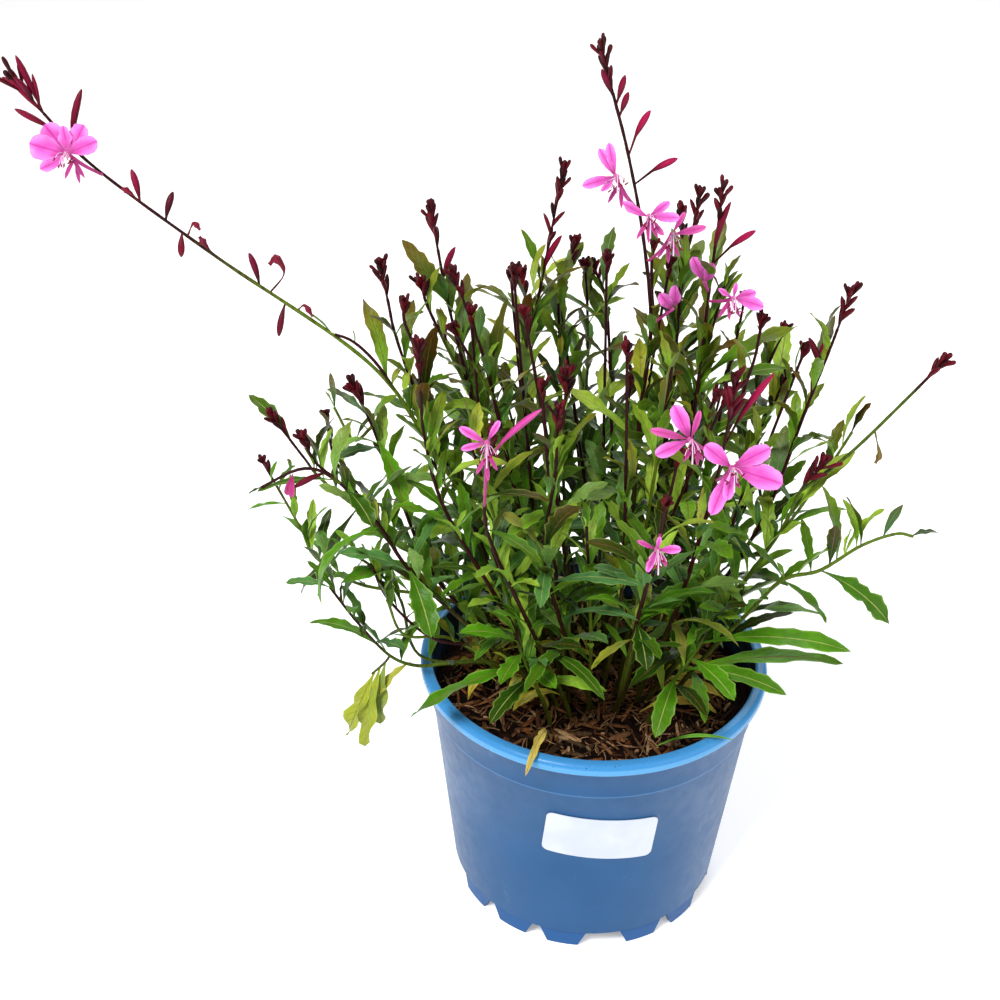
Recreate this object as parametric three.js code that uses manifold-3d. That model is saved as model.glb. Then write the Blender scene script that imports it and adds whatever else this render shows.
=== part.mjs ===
// A potted gaura in flower: blue plastic pot, soil, blank label, leafy stems, bud heads and blooms.
// Millimetres, +Z up. The pot stands on z = 0 and its front looks along -Y. All places are given from the
// pot's axis, and at the end everything moves so that the whole plant's box has its centre over the origin.
import * as THREE from 'three';
import { mergeVertices } from 'three/addons/utils/BufferGeometryUtils.js';
import Module from 'manifold-3d';

const wasm = await Module();
wasm.setup();

const DEGREE = Math.PI / 180;
const GOLDEN_TURN = 137.5 * DEGREE;
const UP = new THREE.Vector3(0, 0, 1);

// The whole plant's centre, seen from above, as a place from the pot's axis.
const PLANT_CENTRE = [-47, 7.5];

// Pot
const RIM_RADIUS = 80;
const POT_HEIGHT = 125;
const LIP_DEPTH = 5.4;
const LIP_INNER_RADIUS = 74.6;
const SHOULDER_RADIUS = 74.4;
const SHOULDER_HEIGHT = 103;
const SHOULDER_STEP = 0.8;
const WALL_FOOT_RADIUS = 64.8;
const WALL_FOOT_HEIGHT = 9.3;
const WALL_THICKNESS = 1.7;
const FLOOR_UNDERSIDE = 7;
const FLOOR_TOP = 9;
const POT_SIDES = 32;
const FOOT_OUTER_RADIUS = 64;
const FOOT_INNER_RADIUS = 61.2;
const FOOT_TOP_ANGLE = 20;
const FOOT_BOTTOM_ANGLE = 13;
const FOOT_AZIMUTHS = [-57, -34, -11, 23, 46, 80, 103, 126, 160, 183, 217, 240, 263];
const DRAIN_RADIUS = 5;
const DRAIN_RING_RADIUS = 40;
const DRAIN_COUNT = 4;

// Soil
const SOIL_GAP = 0.45;
const SOIL_EDGE_HEIGHT = 107;
const SOIL_CROWN_RISE = 4;
const SOIL_SECTORS = 16;
const SOIL_RING_RADII = [0.3, 0.6, 0.85];
const SOIL_BUMP = 1.4;
const CHIP_COUNT = 5;
const CHIP_SIZE = [11, 4.2, 2];
const STEM_FOOT_HEIGHT = 97;
const HOLE_GAP = 0.35;

// Label
const LABEL_WIDTH = 50;
const LABEL_HEIGHT = 25;
const LABEL_CORNER = 3;
const LABEL_THICKNESS = 0.6;
const LABEL_GAP = 0.3;
const LABEL_CENTRE_HEIGHT = 76.5;
const LABEL_AZIMUTH = 1.3;
const LABEL_TILT = -4.6;
const LABEL_COLUMNS = 7;

// Plant
const STEM_TIP_RADIUS = 0.75;
const BLADE_THICKNESS = 1.2;
const CLEARANCE = 0.55;
const JOINT_GAP = 0.3;
const PETIOLE_HALF_WIDTH = 0.55;
const NODE_HALF_HEIGHT = 0.8;
const NODE_SPACING = 3;
const STEEPEST_LEAF = 0.93;
const SHORT_LEAF = 38;

// Where a leaf's first place crosses something, it tries these turns, lifts and lengths in this order.
const TURN_TRIES = [0, 24, -24, 48, -48, 76, -76, 108, -108, 150];
const LIFT_TRIES = [0, 14, -14, 30];
const LENGTH_TRIES = [1, 0.8, 0.62];

// Along a blade: distance from its foot, then the width to its left and right, as shares of the full ones.
const LEAF_STATIONS = [
  [0, 0.12, 0.12],
  [0.3, 0.46, 0.5],
  [0.52, 1, 0.74],
  [0.74, 0.6, 0.92],
];
const SHORT_STATIONS = [
  [0, 0.13, 0.13],
  [0.34, 0.62, 0.52],
  [0.66, 0.8, 1],
];
const NARROW_STATIONS = [
  [0, 0.14, 0.14],
  [0.5, 1, 0.9],
];
const PETAL_STATIONS = [
  [0, 0.12, 0.12],
  [0.55, 0.8, 0.8],
  [0.85, 0.95, 0.95],
];

const COLOURS = {
  pot: 0x3f74b5,
  soil: 0x2e211b,
  label: 0xf4f4f4,
  leaf: 0x4f7f36,
  bud: 0x5c1426,
  bloom: 0xe65cc0,
  withered: 0x93a63a,
  dry: 0xb99a56,
  grass: 0x6fa33c,
};

// Each stem: where it passes, from the soil to its tip. Its leaves run between two places along it, counted
// in path points, and hand-set leaves give a place along it, a tip and a half width.
// Buds on it give a place along it and a tip. A head is a bud cluster: length, count, bud length.
const STEMS = [
  {
    name: 'wand_left', seed: 11, radius: 1.5, leaves: 5, from: 1.6, to: 4.2, leafLength: 40,
    path: [[-20, -2, 114], [-40, -1, 170], [-72, -5, 232], [-97, -10, 275], [-153, -18, 323],
      [-194, -20, 358], [-209, -20, 377]],
    buds: [[4.57, [-131, -20, 291]], [4.72, [-141, -14, 323]], [5.24, [-165, -22, 324]], [5.36, [-167, -15, 347]],
      [5.56, [-181, -17, 356]], [6.3, [-195, -17, 385]]],
    head: [12, 4, 12],
  },
  {
    name: 'wand_top', seed: 12, radius: 1.5, leaves: 6, from: 1.6, to: 3.4, leafLength: 42,
    path: [[6, 4, 114], [13, 1, 180], [14, 0, 246], [16, 0, 287], [10, -8, 327], [2, -10, 361], [-5, -10, 384]],
    tips: [[3.6, [20, -12, 289], 3.4]],
    buds: [[5.65, [20, -12, 361]], [6, [9, -10, 378]]],
    head: [15, 6, 8],
  },
  {
    name: 'back_spike', seed: 13, radius: 1.4, leaves: 6, from: 1.6, to: 4, leafLength: 38,
    path: [[-10, 12, 114], [-28, 18, 190], [-34, 22, 259], [-29, 30, 287], [-26, 30, 306]],
    buds: [[4.6, [-20, 28, 316]]],
    head: [36, 10, 9],
  },
  {
    name: 'upper_left', seed: 14, radius: 1.4, leaves: 6, from: 1.6, to: 3.6, leafLength: 38,
    path: [[-22, 10, 114], [-45, 10, 190], [-57, 6, 254], [-66, 9, 293], [-70, 10, 316]],
    tips: [[4, [-84, 5, 322], 4]],
    buds: [[4.4, [-63, 8, 318]]],
    head: [16, 7, 8],
  },
  {
    name: 'left_high', seed: 15, radius: 1.4, leaves: 5, from: 1.6, to: 3.4, leafLength: 38,
    path: [[-32, 2, 114], [-56, 0, 195], [-76, -2, 249], [-86, -7, 284], [-89, -10, 303]],
    tips: [[3, [-70, -15, 294], 4.2]],
    head: [14, 6, 8],
  },
  {
    name: 'inner_left', seed: 16, radius: 1.4, leaves: 5, from: 1.6, to: 3.2, leafLength: 38,
    path: [[-14, -10, 114], [-32, -9, 190], [-47, -6, 258], [-53, -9, 284], [-59, -10, 302]],
    tips: [[3, [-43, 2, 299], 4], [3, [-28, -36, 266], 5]],
    head: [12, 6, 7],
  },
  {
    name: 'front_left_high', seed: 17, radius: 1.4, leaves: 5, from: 1.6, to: 4, leafLength: 38,
    path: [[-18, -24, 114], [-42, -31, 170], [-66, -36, 222], [-74, -36, 256], [-75, -39, 282]],
    head: [14, 6, 8],
  },
  {
    name: 'front_left_bloom', seed: 18, radius: 1.4, leaves: 4, from: 1.6, to: 3.4, leafLength: 36,
    path: [[-12, -31, 114], [-30, -46, 170], [-45, -54, 212], [-50, -58, 236], [-47, -55, 268]],
    tips: [[3.6, [-28, -74, 222], 4], [4.2, [-25, -66, 245], 3.8]],
    buds: [[4.7, [-29, -56, 279]]],
    crown: [8, 4, 6],
  },
  {
    name: 'back_left', seed: 19, radius: 1.3, leaves: 6, from: 1.6, to: 3.8, leafLength: 38,
    path: [[-2, 24, 114], [-20, 42, 200], [-32, 56, 258], [-34, 59, 274]],
    head: [11, 5, 7],
  },
  {
    name: 'back_middle', seed: 20, radius: 1.3, leaves: 6, from: 1.6, to: 3.8, leafLength: 38,
    path: [[8, 18, 114], [-6, 36, 200], [-18, 49, 275], [-15, 50, 293]],
    tips: [[3.4, [-1, 50, 311], 3.6]],
    head: [11, 5, 7],
  },
  {
    name: 'back_small', seed: 21, radius: 1.3, leaves: 6, from: 1.6, to: 3.8, leafLength: 36,
    path: [[12, 30, 114], [8, 48, 200], [3, 60, 268], [-3, 69, 286]],
    crown: [8, 4, 7],
  },
  {
    name: 'right_inner', seed: 22, radius: 1.4, leaves: 6, from: 1.6, to: 3.8, leafLength: 38,
    path: [[16, 12, 114], [25, 16, 190], [29, 17, 255], [29, 20, 300], [28, 20, 316]],
    tips: [[3.2, [53, 14, 289], 4.2]],
    head: [13, 6, 7],
  },
  {
    name: 'right_back', seed: 23, radius: 1.4, leaves: 6, from: 1.6, to: 3.8, leafLength: 36,
    path: [[22, 24, 114], [30, 34, 200], [32, 40, 275], [33, 40, 297], [35, 40, 314]],
    head: [14, 6, 8],
  },
  {
    name: 'right_high', seed: 24, radius: 1.4, leaves: 5, from: 1.6, to: 3.2, leafLength: 40,
    path: [[25, 2, 114], [35, 1, 190], [37, 0, 258], [38, 0, 300], [39, 0, 329]],
    tips: [[3.1, [76, 10, 284], 4.6], [3, [73, -3, 272], 4.4], [3.2, [49, -14, 288], 4]],
    buds: [[4.5, [53, -5, 331]], [4.6, [43, -1, 341]]],
    head: [15, 6, 8],
  },
  {
    name: 'front_right_bloom', seed: 25, radius: 1.6, leaves: 5, from: 1.6, to: 3.6, leafLength: 40,
    path: [[20, -20, 114], [31, -37, 175], [37, -49, 226], [40, -54, 256], [41, -55, 272]],
    buds: [[4.4, [57, -50, 292]]],
    head: [18, 9, 11],
  },
  {
    name: 'right_low', seed: 26, radius: 1.3, leaves: 6, from: 1.6, to: 3.8, leafLength: 40,
    path: [[34, 12, 114], [52, 23, 170], [72, 34, 222], [82, 39, 247]],
    crown: [10, 5, 8],
  },
  {
    name: 'right_outer', seed: 27, radius: 1.4, leaves: 5, from: 1.6, to: 4, leafLength: 40,
    path: [[34, -1, 114], [50, -7, 158], [69, -11, 206], [79, -15, 258], [84, -19, 286], [86, -20, 297]],
    buds: [[4.2, [83, -15, 290]], [4.6, [76, -17, 292]]],
    head: [14, 6, 9],
  },
  {
    name: 'right_fork', seed: 28, radius: 1.5, leaves: 5, from: 1.6, to: 3.4, leafLength: 42,
    path: [[29, -12, 114], [50, -26, 162], [70, -37, 214], [75, -41, 236], [81, -44, 249]],
    crown: [13, 7, 10],
    branch: { from: 4, points: [[92, -42, 254], [111, -42, 279], [121, -42, 293]], crown: [9, 4, 8] },
  },
  {
    name: 'right_branch', seed: 29, radius: 1.3, leaves: 4, from: 1.6, to: 3.2, leafLength: 38,
    path: [[34, -22, 114], [47, -32, 148], [60, -41, 176], [71, -49, 199], [84, -55, 208], [97, -60, 223],
      [109, -62, 230], [116, -62, 229]],
    tips: [[6, [87, -62, 247], 3.6], [5.4, [81, -49, 244], 4.2], [5, [112, -66, 190], 5.6],
      [4, [88, -62, 187], 4.2], [7.9, [129, -60, 227], 2.6], [6.6, [112, -56, 240], 2.4]],
  },
  {
    name: 'left_mid', seed: 30, radius: 1.4, leaves: 4, from: 1.6, to: 3.4, leafLength: 38,
    path: [[-29, -9, 114], [-50, -11, 142], [-73, -13, 176], [-85, -13, 210], [-97, -11, 247], [-104, -10, 264]],
    tips: [[3.1, [-111, -34, 184], 4.8], [4.8, [-82, -36, 221], 4.6], [4.7, [-110, -22, 238], 4],
      [5.2, [-116, -3, 260], 3]],
    crown: [11, 6, 9],
  },
  {
    name: 'left_outer', seed: 31, radius: 1.3, leaves: 4, from: 1.8, to: 3.4, leafLength: 40,
    path: [[-34, 12, 114], [-56, 8, 146], [-90, 3, 184], [-119, 0, 213], [-128, 0, 226], [-139, 0, 244]],
    tips: [[5.4, [-154, 6, 254], 3.6], [3.5, [-124, -10, 160], 5], [4.4, [-112, -8, 250], 3.4]],
    crown: [9, 5, 8],
  },
  {
    name: 'left_front', seed: 32, radius: 1.3, leaves: 3, from: 1.8, to: 3.2, leafLength: 36,
    path: [[-24, -18, 114], [-48, -23, 145], [-80, -27, 184], [-95, -29, 212], [-109, -30, 231], [-118, -30, 240],
      [-123, -30, 251]],
    tips: [[4.8, [-95, -44, 219], 4.6], [3, [-110, -38, 202], 4.6], [3.1, [-72, -48, 167], 6],
      [5.1, [-142, -36, 230], 2.6]],
    buds: [[5.5, [-127, -36, 232]]],
    crown: [7, 4, 7],
  },
  {
    name: 'left_low', seed: 33, radius: 1.2, leaves: 4, from: 2, to: 4.6, leafLength: 32,
    path: [[-40, 18, 114], [-66, 21, 137], [-108, 18, 148], [-128, 16, 164], [-135, 18, 180], [-149, 20, 211]],
    tips: [[5.4, [-158, 14, 190], 2.6], [5.6, [-134, 14, 214], 2.8]],
    crown: [6, 3, 6],
  },
  {
    name: 'left_trailing', seed: 34, radius: 1.4, leaves: 2, from: 5.2, to: 6.2, leafLength: 30,
    path: [[-38, -15, 114], [-46, -17, 130], [-67, -20, 132], [-80, -22, 132], [-92, -24, 139], [-105, -24, 156],
      [-117, -22, 174]],
    tips: [[5.5, [-84, -36, 151], 3.8], [6.8, [-128, -24, 200], 3.6], [7, [-136, -22, 176], 3.4]],
  },
  {
    name: 'front_middle', seed: 35, radius: 1.3, leaves: 4, from: 1.6, to: 3, leafLength: 36,
    path: [[-2, -25, 114], [-17, -41, 168], [-26, -51, 212], [-23, -55, 250], [-23, -55, 276]],
    tips: [[3, [-14, -74, 248], 4.8], [2.8, [-28, -78, 204], 3.6], [2.6, [13, -63, 205], 4.4],
      [4, [-8, -52, 276], 4]],
    crown: [9, 5, 7],
  },
  {
    name: 'front_bloom', seed: 36, radius: 1.3, leaves: 4, from: 1.6, to: 3.6, leafLength: 36,
    path: [[10, -28, 114], [13, -51, 178], [16, -68, 222], [17, -75, 242], [17, -78, 252]],
    tips: [[2, [16, -72, 170], 4.8]],
    crown: [7, 4, 6],
  },
  {
    name: 'shoot_front_left', seed: 37, radius: 1.3, leaves: 3, from: 2, to: 4, leafLength: 34,
    path: [[-21, -36, 114], [-28, -44, 140], [-34, -49, 160], [-38, -51, 176]],
    tips: [[2.6, [-81, -63, 136], 5.4], [2.2, [-47, -74, 143], 4.8], [3, [-43, -70, 160], 4.2],
      [2.4, [-20, -67, 156], 4.4], [3.4, [-60, -62, 180], 4.8]],
  },
  {
    name: 'shoot_front_right', seed: 38, radius: 1.4, leaves: 3, from: 2, to: 4, leafLength: 36,
    path: [[24, -35, 114], [31, -41, 138], [40, -43, 158], [48, -42, 180]],
    tips: [[2.2, [22, -70, 133], 5.2], [2.8, [54, -66, 150], 5.6], [2.5, [79, -52, 142], 5],
      [3.2, [105, -46, 161], 5.8], [2.9, [106, -54, 145], 5.6]],
  },
  {
    name: 'shoot_back_left', seed: 39, radius: 1.3, leaves: 7, from: 1.8, to: 4, leafLength: 42,
    path: [[-22, 28, 114], [-38, 46, 160], [-50, 60, 205], [-56, 66, 236]],
  },
  {
    name: 'shoot_back', seed: 40, radius: 1.3, leaves: 7, from: 1.8, to: 4, leafLength: 42,
    path: [[0, 40, 114], [-1, 62, 160], [-5, 78, 205], [-8, 86, 238]],
  },
  {
    name: 'shoot_back_right', seed: 41, radius: 1.3, leaves: 7, from: 1.8, to: 4, leafLength: 42,
    path: [[26, 34, 114], [42, 48, 160], [54, 60, 205], [60, 66, 238]],
  },
];

// Each bloom: the stem and place along it that carries it, its centre, and each petal's angle as seen
// from the front, anticlockwise from the right, with its length.
const BLOOMS = [
  {
    name: 'wand_left', stem: 'wand_left', at: 5.9, centre: [-200, -27, 364],
    petals: [[150, 13], [75, 11], [15, 13], [215, 14]],
  },
  {
    name: 'top_left', stem: 'wand_top', at: 5.4, centre: [-3, -20, 356],
    petals: [[125, 13], [100, 14], [200, 15], [235, 10]],
  },
  {
    name: 'top_right', stem: 'wand_top', at: 5.15, centre: [9, -28, 344],
    petals: [[160, 15], [40, 12], [0, 13], [-50, 12]],
  },
  {
    name: 'top_low', stem: 'wand_top', at: 4.8, centre: [19, -19, 334],
    petals: [[20, 15], [60, 11]],
  },
  {
    name: 'upper_right', stem: 'right_high', at: 4, centre: [46, -10, 305],
    petals: [[150, 10], [20, 11], [-15, 14], [80, 9]],
  },
  {
    name: 'front_left', stem: 'front_left_bloom', at: 4.1, centre: [-49, -67, 270],
    petals: [[150, 12], [60, 9], [195, 10]],
  },
  {
    name: 'front_inner', stem: 'front_right_bloom', at: 4.2, centre: [25, -71, 275],
    petals: [[115, 15], [165, 17], [205, 15], [75, 12]],
  },
  {
    name: 'front_right', stem: 'front_right_bloom', at: 3.7, centre: [40, -77, 267],
    petals: [[140, 14], [28, 17], [-18, 20], [-115, 20]],
  },
  {
    name: 'front_low', stem: 'front_bloom', at: 3.6, centre: [14, -86, 237],
    petals: [[160, 9], [15, 11], [240, 11], [80, 8]],
  },
];

// A closed skin over a trunk of rings with equally many points each, the last of which may be one point.
// A limb leaves a four-sided trunk through a side face between two of its rings, and may have limbs too.
function skin(trunk) {
  const positions = [];
  const index = [];
  const addRing = (ring) => ring.map((point) => positions.push(point.x, point.y, point.z) / 3 - 1);
  const at = (vertex) => new THREE.Vector3().fromArray(positions, vertex * 3);
  const closeWith = (ring) => {
    for (let k = 1; k < ring.length - 1; k += 1) index.push(ring[0], ring[k], ring[k + 1]);
  };
  const extend = (base, rings, limbs) => {
    let lower = base;
    rings.forEach((ring, segment) => {
      const upper = addRing(ring);
      for (let k = 0; k < lower.length; k += 1) {
        const next = (k + 1) % lower.length;
        const limb = limbs.find((one) => one.segment === segment && one.side === k);
        if (limb) {
          const face = [lower[k], lower[next], upper[next], upper[k]];
          extend(face, turnedToFace(face.map(at), limb.rings), limb.limbs ?? []);
        } else if (upper.length === 1) {
          index.push(lower[k], lower[next], upper[0]);
        } else if (k % 2 === 0) {
          // The diagonals mirror each other, so both faces of a waved blade bend alike.
          index.push(lower[k], lower[next], upper[next], lower[k], upper[next], upper[k]);
        } else {
          index.push(lower[k], lower[next], upper[k], lower[next], upper[next], upper[k]);
        }
      }
      lower = upper;
    });
    closeWith(lower);
  };
  const first = addRing(trunk.rings[0]);
  closeWith(first.toReversed());
  extend(first, trunk.rings.slice(1), trunk.limbs ?? []);
  const geometry = new THREE.BufferGeometry();
  geometry.setAttribute('position', new THREE.Float32BufferAttribute(positions, 3));
  geometry.setIndex(index);
  return geometry;
}

// A limb's rings, each started at the corner that lets it leave the face with the least twist.
function turnedToFace(face, rings) {
  const offsets = (ring) => {
    const centre = ring.reduce((sum, point) => sum.add(point), new THREE.Vector3()).divideScalar(4);
    return ring.map((point) => point.clone().sub(centre).normalize());
  };
  const from = offsets(face);
  const to = offsets(rings[0]);
  const twist = (shift) => from.reduce((sum, way, k) => sum + way.distanceTo(to[(k + shift) % 4]), 0);
  const shift = [0, 1, 2, 3].reduce((best, one) => (twist(one) < twist(best) ? one : best));
  return rings.map((ring) => (ring.length === 4 ? ring.map((point, k) => ring[(k + shift) % 4]) : ring));
}

function signedVolume(positions, index) {
  const a = new THREE.Vector3();
  const b = new THREE.Vector3();
  const c = new THREE.Vector3();
  let total = 0;
  for (let i = 0; i < index.length; i += 3) {
    a.fromArray(positions, index[i] * 3);
    b.fromArray(positions, index[i + 1] * 3);
    c.fromArray(positions, index[i + 2] * 3);
    total += a.dot(b.cross(c));
  }
  return total / 6;
}

// A closed geometry as a solid that can be joined and cut, with the box that it lies in.
function toSolid(geometry) {
  const bare = geometry.clone();
  bare.deleteAttribute('normal');
  bare.deleteAttribute('uv');
  const merged = mergeVertices(bare, 1e-4);
  const positions = merged.attributes.position.array;
  const index = [];
  for (let i = 0; i < merged.index.count; i += 3) {
    const [a, b, c] = [0, 1, 2].map((k) => merged.index.getX(i + k));
    if (a !== b && b !== c && c !== a) index.push(a, b, c);
  }
  if (signedVolume(positions, index) < 0) {
    for (let i = 0; i < index.length; i += 3) [index[i], index[i + 1]] = [index[i + 1], index[i]];
  }
  merged.computeBoundingBox();
  const mesh = new wasm.Mesh({
    numProp: 3,
    vertProperties: new Float32Array(positions),
    triVerts: new Uint32Array(index),
  });
  return { solid: new wasm.Manifold(mesh), box: merged.boundingBox };
}

function join(parts) {
  let solid = parts[0].solid;
  const box = parts[0].box.clone();
  for (const part of parts.slice(1)) {
    solid = solid.add(part.solid);
    box.union(part.box);
  }
  return { solid, box };
}

function cut(part, tools) {
  let solid = part.solid;
  for (const tool of tools) solid = solid.subtract(tool.solid);
  return { solid, box: part.box };
}

function overlaps(first, second) {
  if (!first.box.intersectsBox(second.box)) return false;
  return first.solid.intersect(second.solid).getMesh().triVerts.length > 0;
}

const group = new THREE.Group();

function addPart(name, part, colour, roughness) {
  const mesh = part.solid.getMesh();
  const geometry = new THREE.BufferGeometry();
  geometry.setAttribute('position', new THREE.Float32BufferAttribute(mesh.vertProperties, 3));
  geometry.setIndex([...mesh.triVerts]);
  geometry.computeVertexNormals();
  const material = new THREE.MeshStandardMaterial({ color: colour, roughness, metalness: 0 });
  const object = new THREE.Mesh(geometry, material);
  object.name = name;
  object.position.set(-PLANT_CENTRE[0], -PLANT_CENTRE[1], 0);
  group.add(object);
}

// Repeatable draws between 0 and 1.
function seededDraws(seed) {
  let state = seed * 7919;
  return () => {
    state = (state * 1664525 + 1013904223) % 4294967296;
    return state / 4294967296;
  };
}

const vector = (xyz) => new THREE.Vector3(...xyz);
const mix = (a, b, share) => a + (b - a) * share;

function onCylinder(radius, angle, height) {
  return new THREE.Vector3(radius * Math.cos(angle), radius * Math.sin(angle), height);
}

// Azimuth in degrees from the front of the pot, positive to the right, as an angle about Z.
const fromFront = (azimuth) => (azimuth - 90) * DEGREE;

// Outer radius of the conical wall at a height.
function wallRadius(height) {
  const share = (height - WALL_FOOT_HEIGHT) / (SHOULDER_HEIGHT - WALL_FOOT_HEIGHT);
  return mix(WALL_FOOT_RADIUS, SHOULDER_RADIUS, share);
}

function buildPot() {
  const lipUnderside = POT_HEIGHT - LIP_DEPTH;
  const neckRadius = wallRadius(lipUnderside) + SHOULDER_STEP;
  const profile = [
    [0, FLOOR_UNDERSIDE],
    [WALL_FOOT_RADIUS - 2.2, FLOOR_UNDERSIDE],
    [WALL_FOOT_RADIUS, WALL_FOOT_HEIGHT],
    [SHOULDER_RADIUS, SHOULDER_HEIGHT],
    [SHOULDER_RADIUS + SHOULDER_STEP, SHOULDER_HEIGHT + 0.8],
    [neckRadius, lipUnderside],
    [RIM_RADIUS - 0.3, lipUnderside + 0.3],
    [RIM_RADIUS - 0.5, POT_HEIGHT - 1.2],
    [RIM_RADIUS - 1.9, POT_HEIGHT],
    [LIP_INNER_RADIUS + 1, POT_HEIGHT],
    [LIP_INNER_RADIUS, POT_HEIGHT - 1.2],
    [neckRadius - WALL_THICKNESS, lipUnderside - 1],
    [wallRadius(FLOOR_TOP) - WALL_THICKNESS, FLOOR_TOP],
    [0, FLOOR_TOP],
  ];
  const outline = profile.map(([radius, height]) => new THREE.Vector2(radius, height));
  const shell = new THREE.LatheGeometry(outline, POT_SIDES);
  shell.rotateX(Math.PI / 2);
  const parts = [toSolid(shell)];
  for (const azimuth of FOOT_AZIMUTHS) {
    const rings = [-1, 0, 1].map((side) => {
      const bottom = fromFront(azimuth + side * FOOT_BOTTOM_ANGLE / 2);
      const top = fromFront(azimuth + side * FOOT_TOP_ANGLE / 2);
      return [
        onCylinder(FOOT_INNER_RADIUS, bottom, 0),
        onCylinder(FOOT_OUTER_RADIUS, bottom, 0),
        onCylinder(FOOT_OUTER_RADIUS, top, WALL_FOOT_HEIGHT - 0.4),
        onCylinder(FOOT_INNER_RADIUS, top, WALL_FOOT_HEIGHT - 0.4),
      ];
    });
    parts.push(toSolid(skin({ rings })));
  }
  const drains = [];
  for (let i = 0; i < DRAIN_COUNT; i += 1) {
    const drain = new THREE.CylinderGeometry(DRAIN_RADIUS, DRAIN_RADIUS, 8, 8);
    drain.rotateX(Math.PI / 2);
    const angle = (i / DRAIN_COUNT) * 2 * Math.PI;
    drain.translate(DRAIN_RING_RADIUS * Math.cos(angle), DRAIN_RING_RADIUS * Math.sin(angle), FLOOR_TOP - 1);
    drains.push(toSolid(drain));
  }
  return cut(join(parts), drains);
}

// A thin sheet bent around the conical wall, with rounded corners.
function buildLabel() {
  const half = LABEL_WIDTH / 2;
  const columns = [];
  for (const share of [0, 0.3, 1]) columns.push(share * LABEL_CORNER - half);
  for (let i = 1; i < LABEL_COLUMNS; i += 1) {
    columns.push(mix(LABEL_CORNER - half, half - LABEL_CORNER, i / LABEL_COLUMNS));
  }
  for (const share of [1, 0.3, 0]) columns.push(half - share * LABEL_CORNER);
  const tilt = LABEL_TILT * DEGREE;
  const rings = columns.map((along) => {
    const inCorner = Math.max(0, Math.abs(along) - (half - LABEL_CORNER));
    const halfHeight = LABEL_HEIGHT / 2 - LABEL_CORNER + Math.sqrt(LABEL_CORNER ** 2 - inCorner ** 2);
    const place = (up, layer) => {
      const arc = along * Math.cos(tilt) - up * Math.sin(tilt);
      const height = LABEL_CENTRE_HEIGHT + along * Math.sin(tilt) + up * Math.cos(tilt);
      const radius = wallRadius(height) + LABEL_GAP + layer;
      return onCylinder(radius, fromFront(LABEL_AZIMUTH) + arc / radius, height);
    };
    return [
      place(-halfHeight, 0),
      place(-halfHeight, LABEL_THICKNESS),
      place(halfHeight, LABEL_THICKNESS),
      place(halfHeight, 0),
    ];
  });
  return toSolid(skin({ rings }));
}

// Height of the soil's surface at a share of its radius. It rises to the crown, with small bumps.
function soilHeight(share, draw) {
  const bump = (draw() - 0.5) * 2 * SOIL_BUMP;
  return SOIL_EDGE_HEIGHT + SOIL_CROWN_RISE * (1 - share ** 2) + bump;
}

function buildSoilBody() {
  const draw = seededDraws(3);
  const bottomRadius = wallRadius(FLOOR_TOP) - WALL_THICKNESS - 3 - SOIL_GAP;
  const lowRadius = wallRadius(FLOOR_TOP + 3) - WALL_THICKNESS - SOIL_GAP;
  const edgeRadius = wallRadius(SOIL_EDGE_HEIGHT) - WALL_THICKNESS - SOIL_GAP;
  const ring = (radius, height) => {
    const points = [];
    for (let k = 0; k < SOIL_SECTORS; k += 1) {
      points.push(onCylinder(radius, (k / SOIL_SECTORS) * 2 * Math.PI, height()));
    }
    return points;
  };
  const rings = [
    ring(bottomRadius, () => FLOOR_TOP + JOINT_GAP),
    ring(lowRadius, () => FLOOR_TOP + 3),
    ring(edgeRadius, () => soilHeight(1, draw)),
  ];
  for (const share of SOIL_RING_RADII.toReversed()) {
    rings.push(ring(edgeRadius * share, () => soilHeight(share, draw)));
  }
  rings.push([new THREE.Vector3(0, 0, SOIL_EDGE_HEIGHT + SOIL_CROWN_RISE)]);
  const parts = [toSolid(skin({ rings }))];
  for (let i = 0; i < CHIP_COUNT; i += 1) {
    const share = 0.5 + 0.42 * draw();
    const angle = fromFront(mix(-75, 75, (i + draw()) / CHIP_COUNT));
    const chip = new THREE.BoxGeometry(...CHIP_SIZE);
    chip.rotateX((draw() - 0.5) * 0.7);
    chip.rotateY((draw() - 0.5) * 0.6);
    chip.rotateZ(draw() * Math.PI);
    const height = SOIL_EDGE_HEIGHT + SOIL_CROWN_RISE * (1 - share ** 2) + 0.8;
    chip.translate(edgeRadius * share * Math.cos(angle), edgeRadius * share * Math.sin(angle), height);
    parts.push(toSolid(chip));
  }
  return join(parts);
}

// A curve through the points, with its place counted in points: 2.5 is midway from the third to the fourth.
function curveThrough(points) {
  const curve = new THREE.CatmullRomCurve3(points, false, 'catmullrom');
  const spans = points.length - 1;
  const point = (place) => curve.getPoint(THREE.MathUtils.clamp(place / spans, 0, 1));
  return {
    spans,
    point,
    direction: (place) => curve.getTangent(THREE.MathUtils.clamp(place / spans, 0, 1)),
    // Millimetres along the curve for each unit of place, near a place.
    speed: (place) => {
      const before = Math.max(place - 0.05, 0);
      const after = Math.min(place + 0.05, spans);
      return point(before).distanceTo(point(after)) / (after - before);
    },
  };
}

const straight = (from, to) => curveThrough([from, from.clone().lerp(to, 0.5), to]);

// Rings around a curve at some places on it.
function ringsAlong(curve, places, radiusAt) {
  let across = new THREE.Vector3(0, -1, 0);
  return places.map((place) => {
    const along = curve.direction(place);
    const side = new THREE.Vector3().crossVectors(across, along).normalize();
    across = new THREE.Vector3().crossVectors(along, side).normalize();
    const radius = radiusAt(place);
    return [0, 1, 2, 3].map((k) => curve.point(place)
      .addScaledVector(side, radius * Math.cos(k * Math.PI / 2))
      .addScaledVector(across, radius * Math.sin(k * Math.PI / 2)));
  });
}

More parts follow.
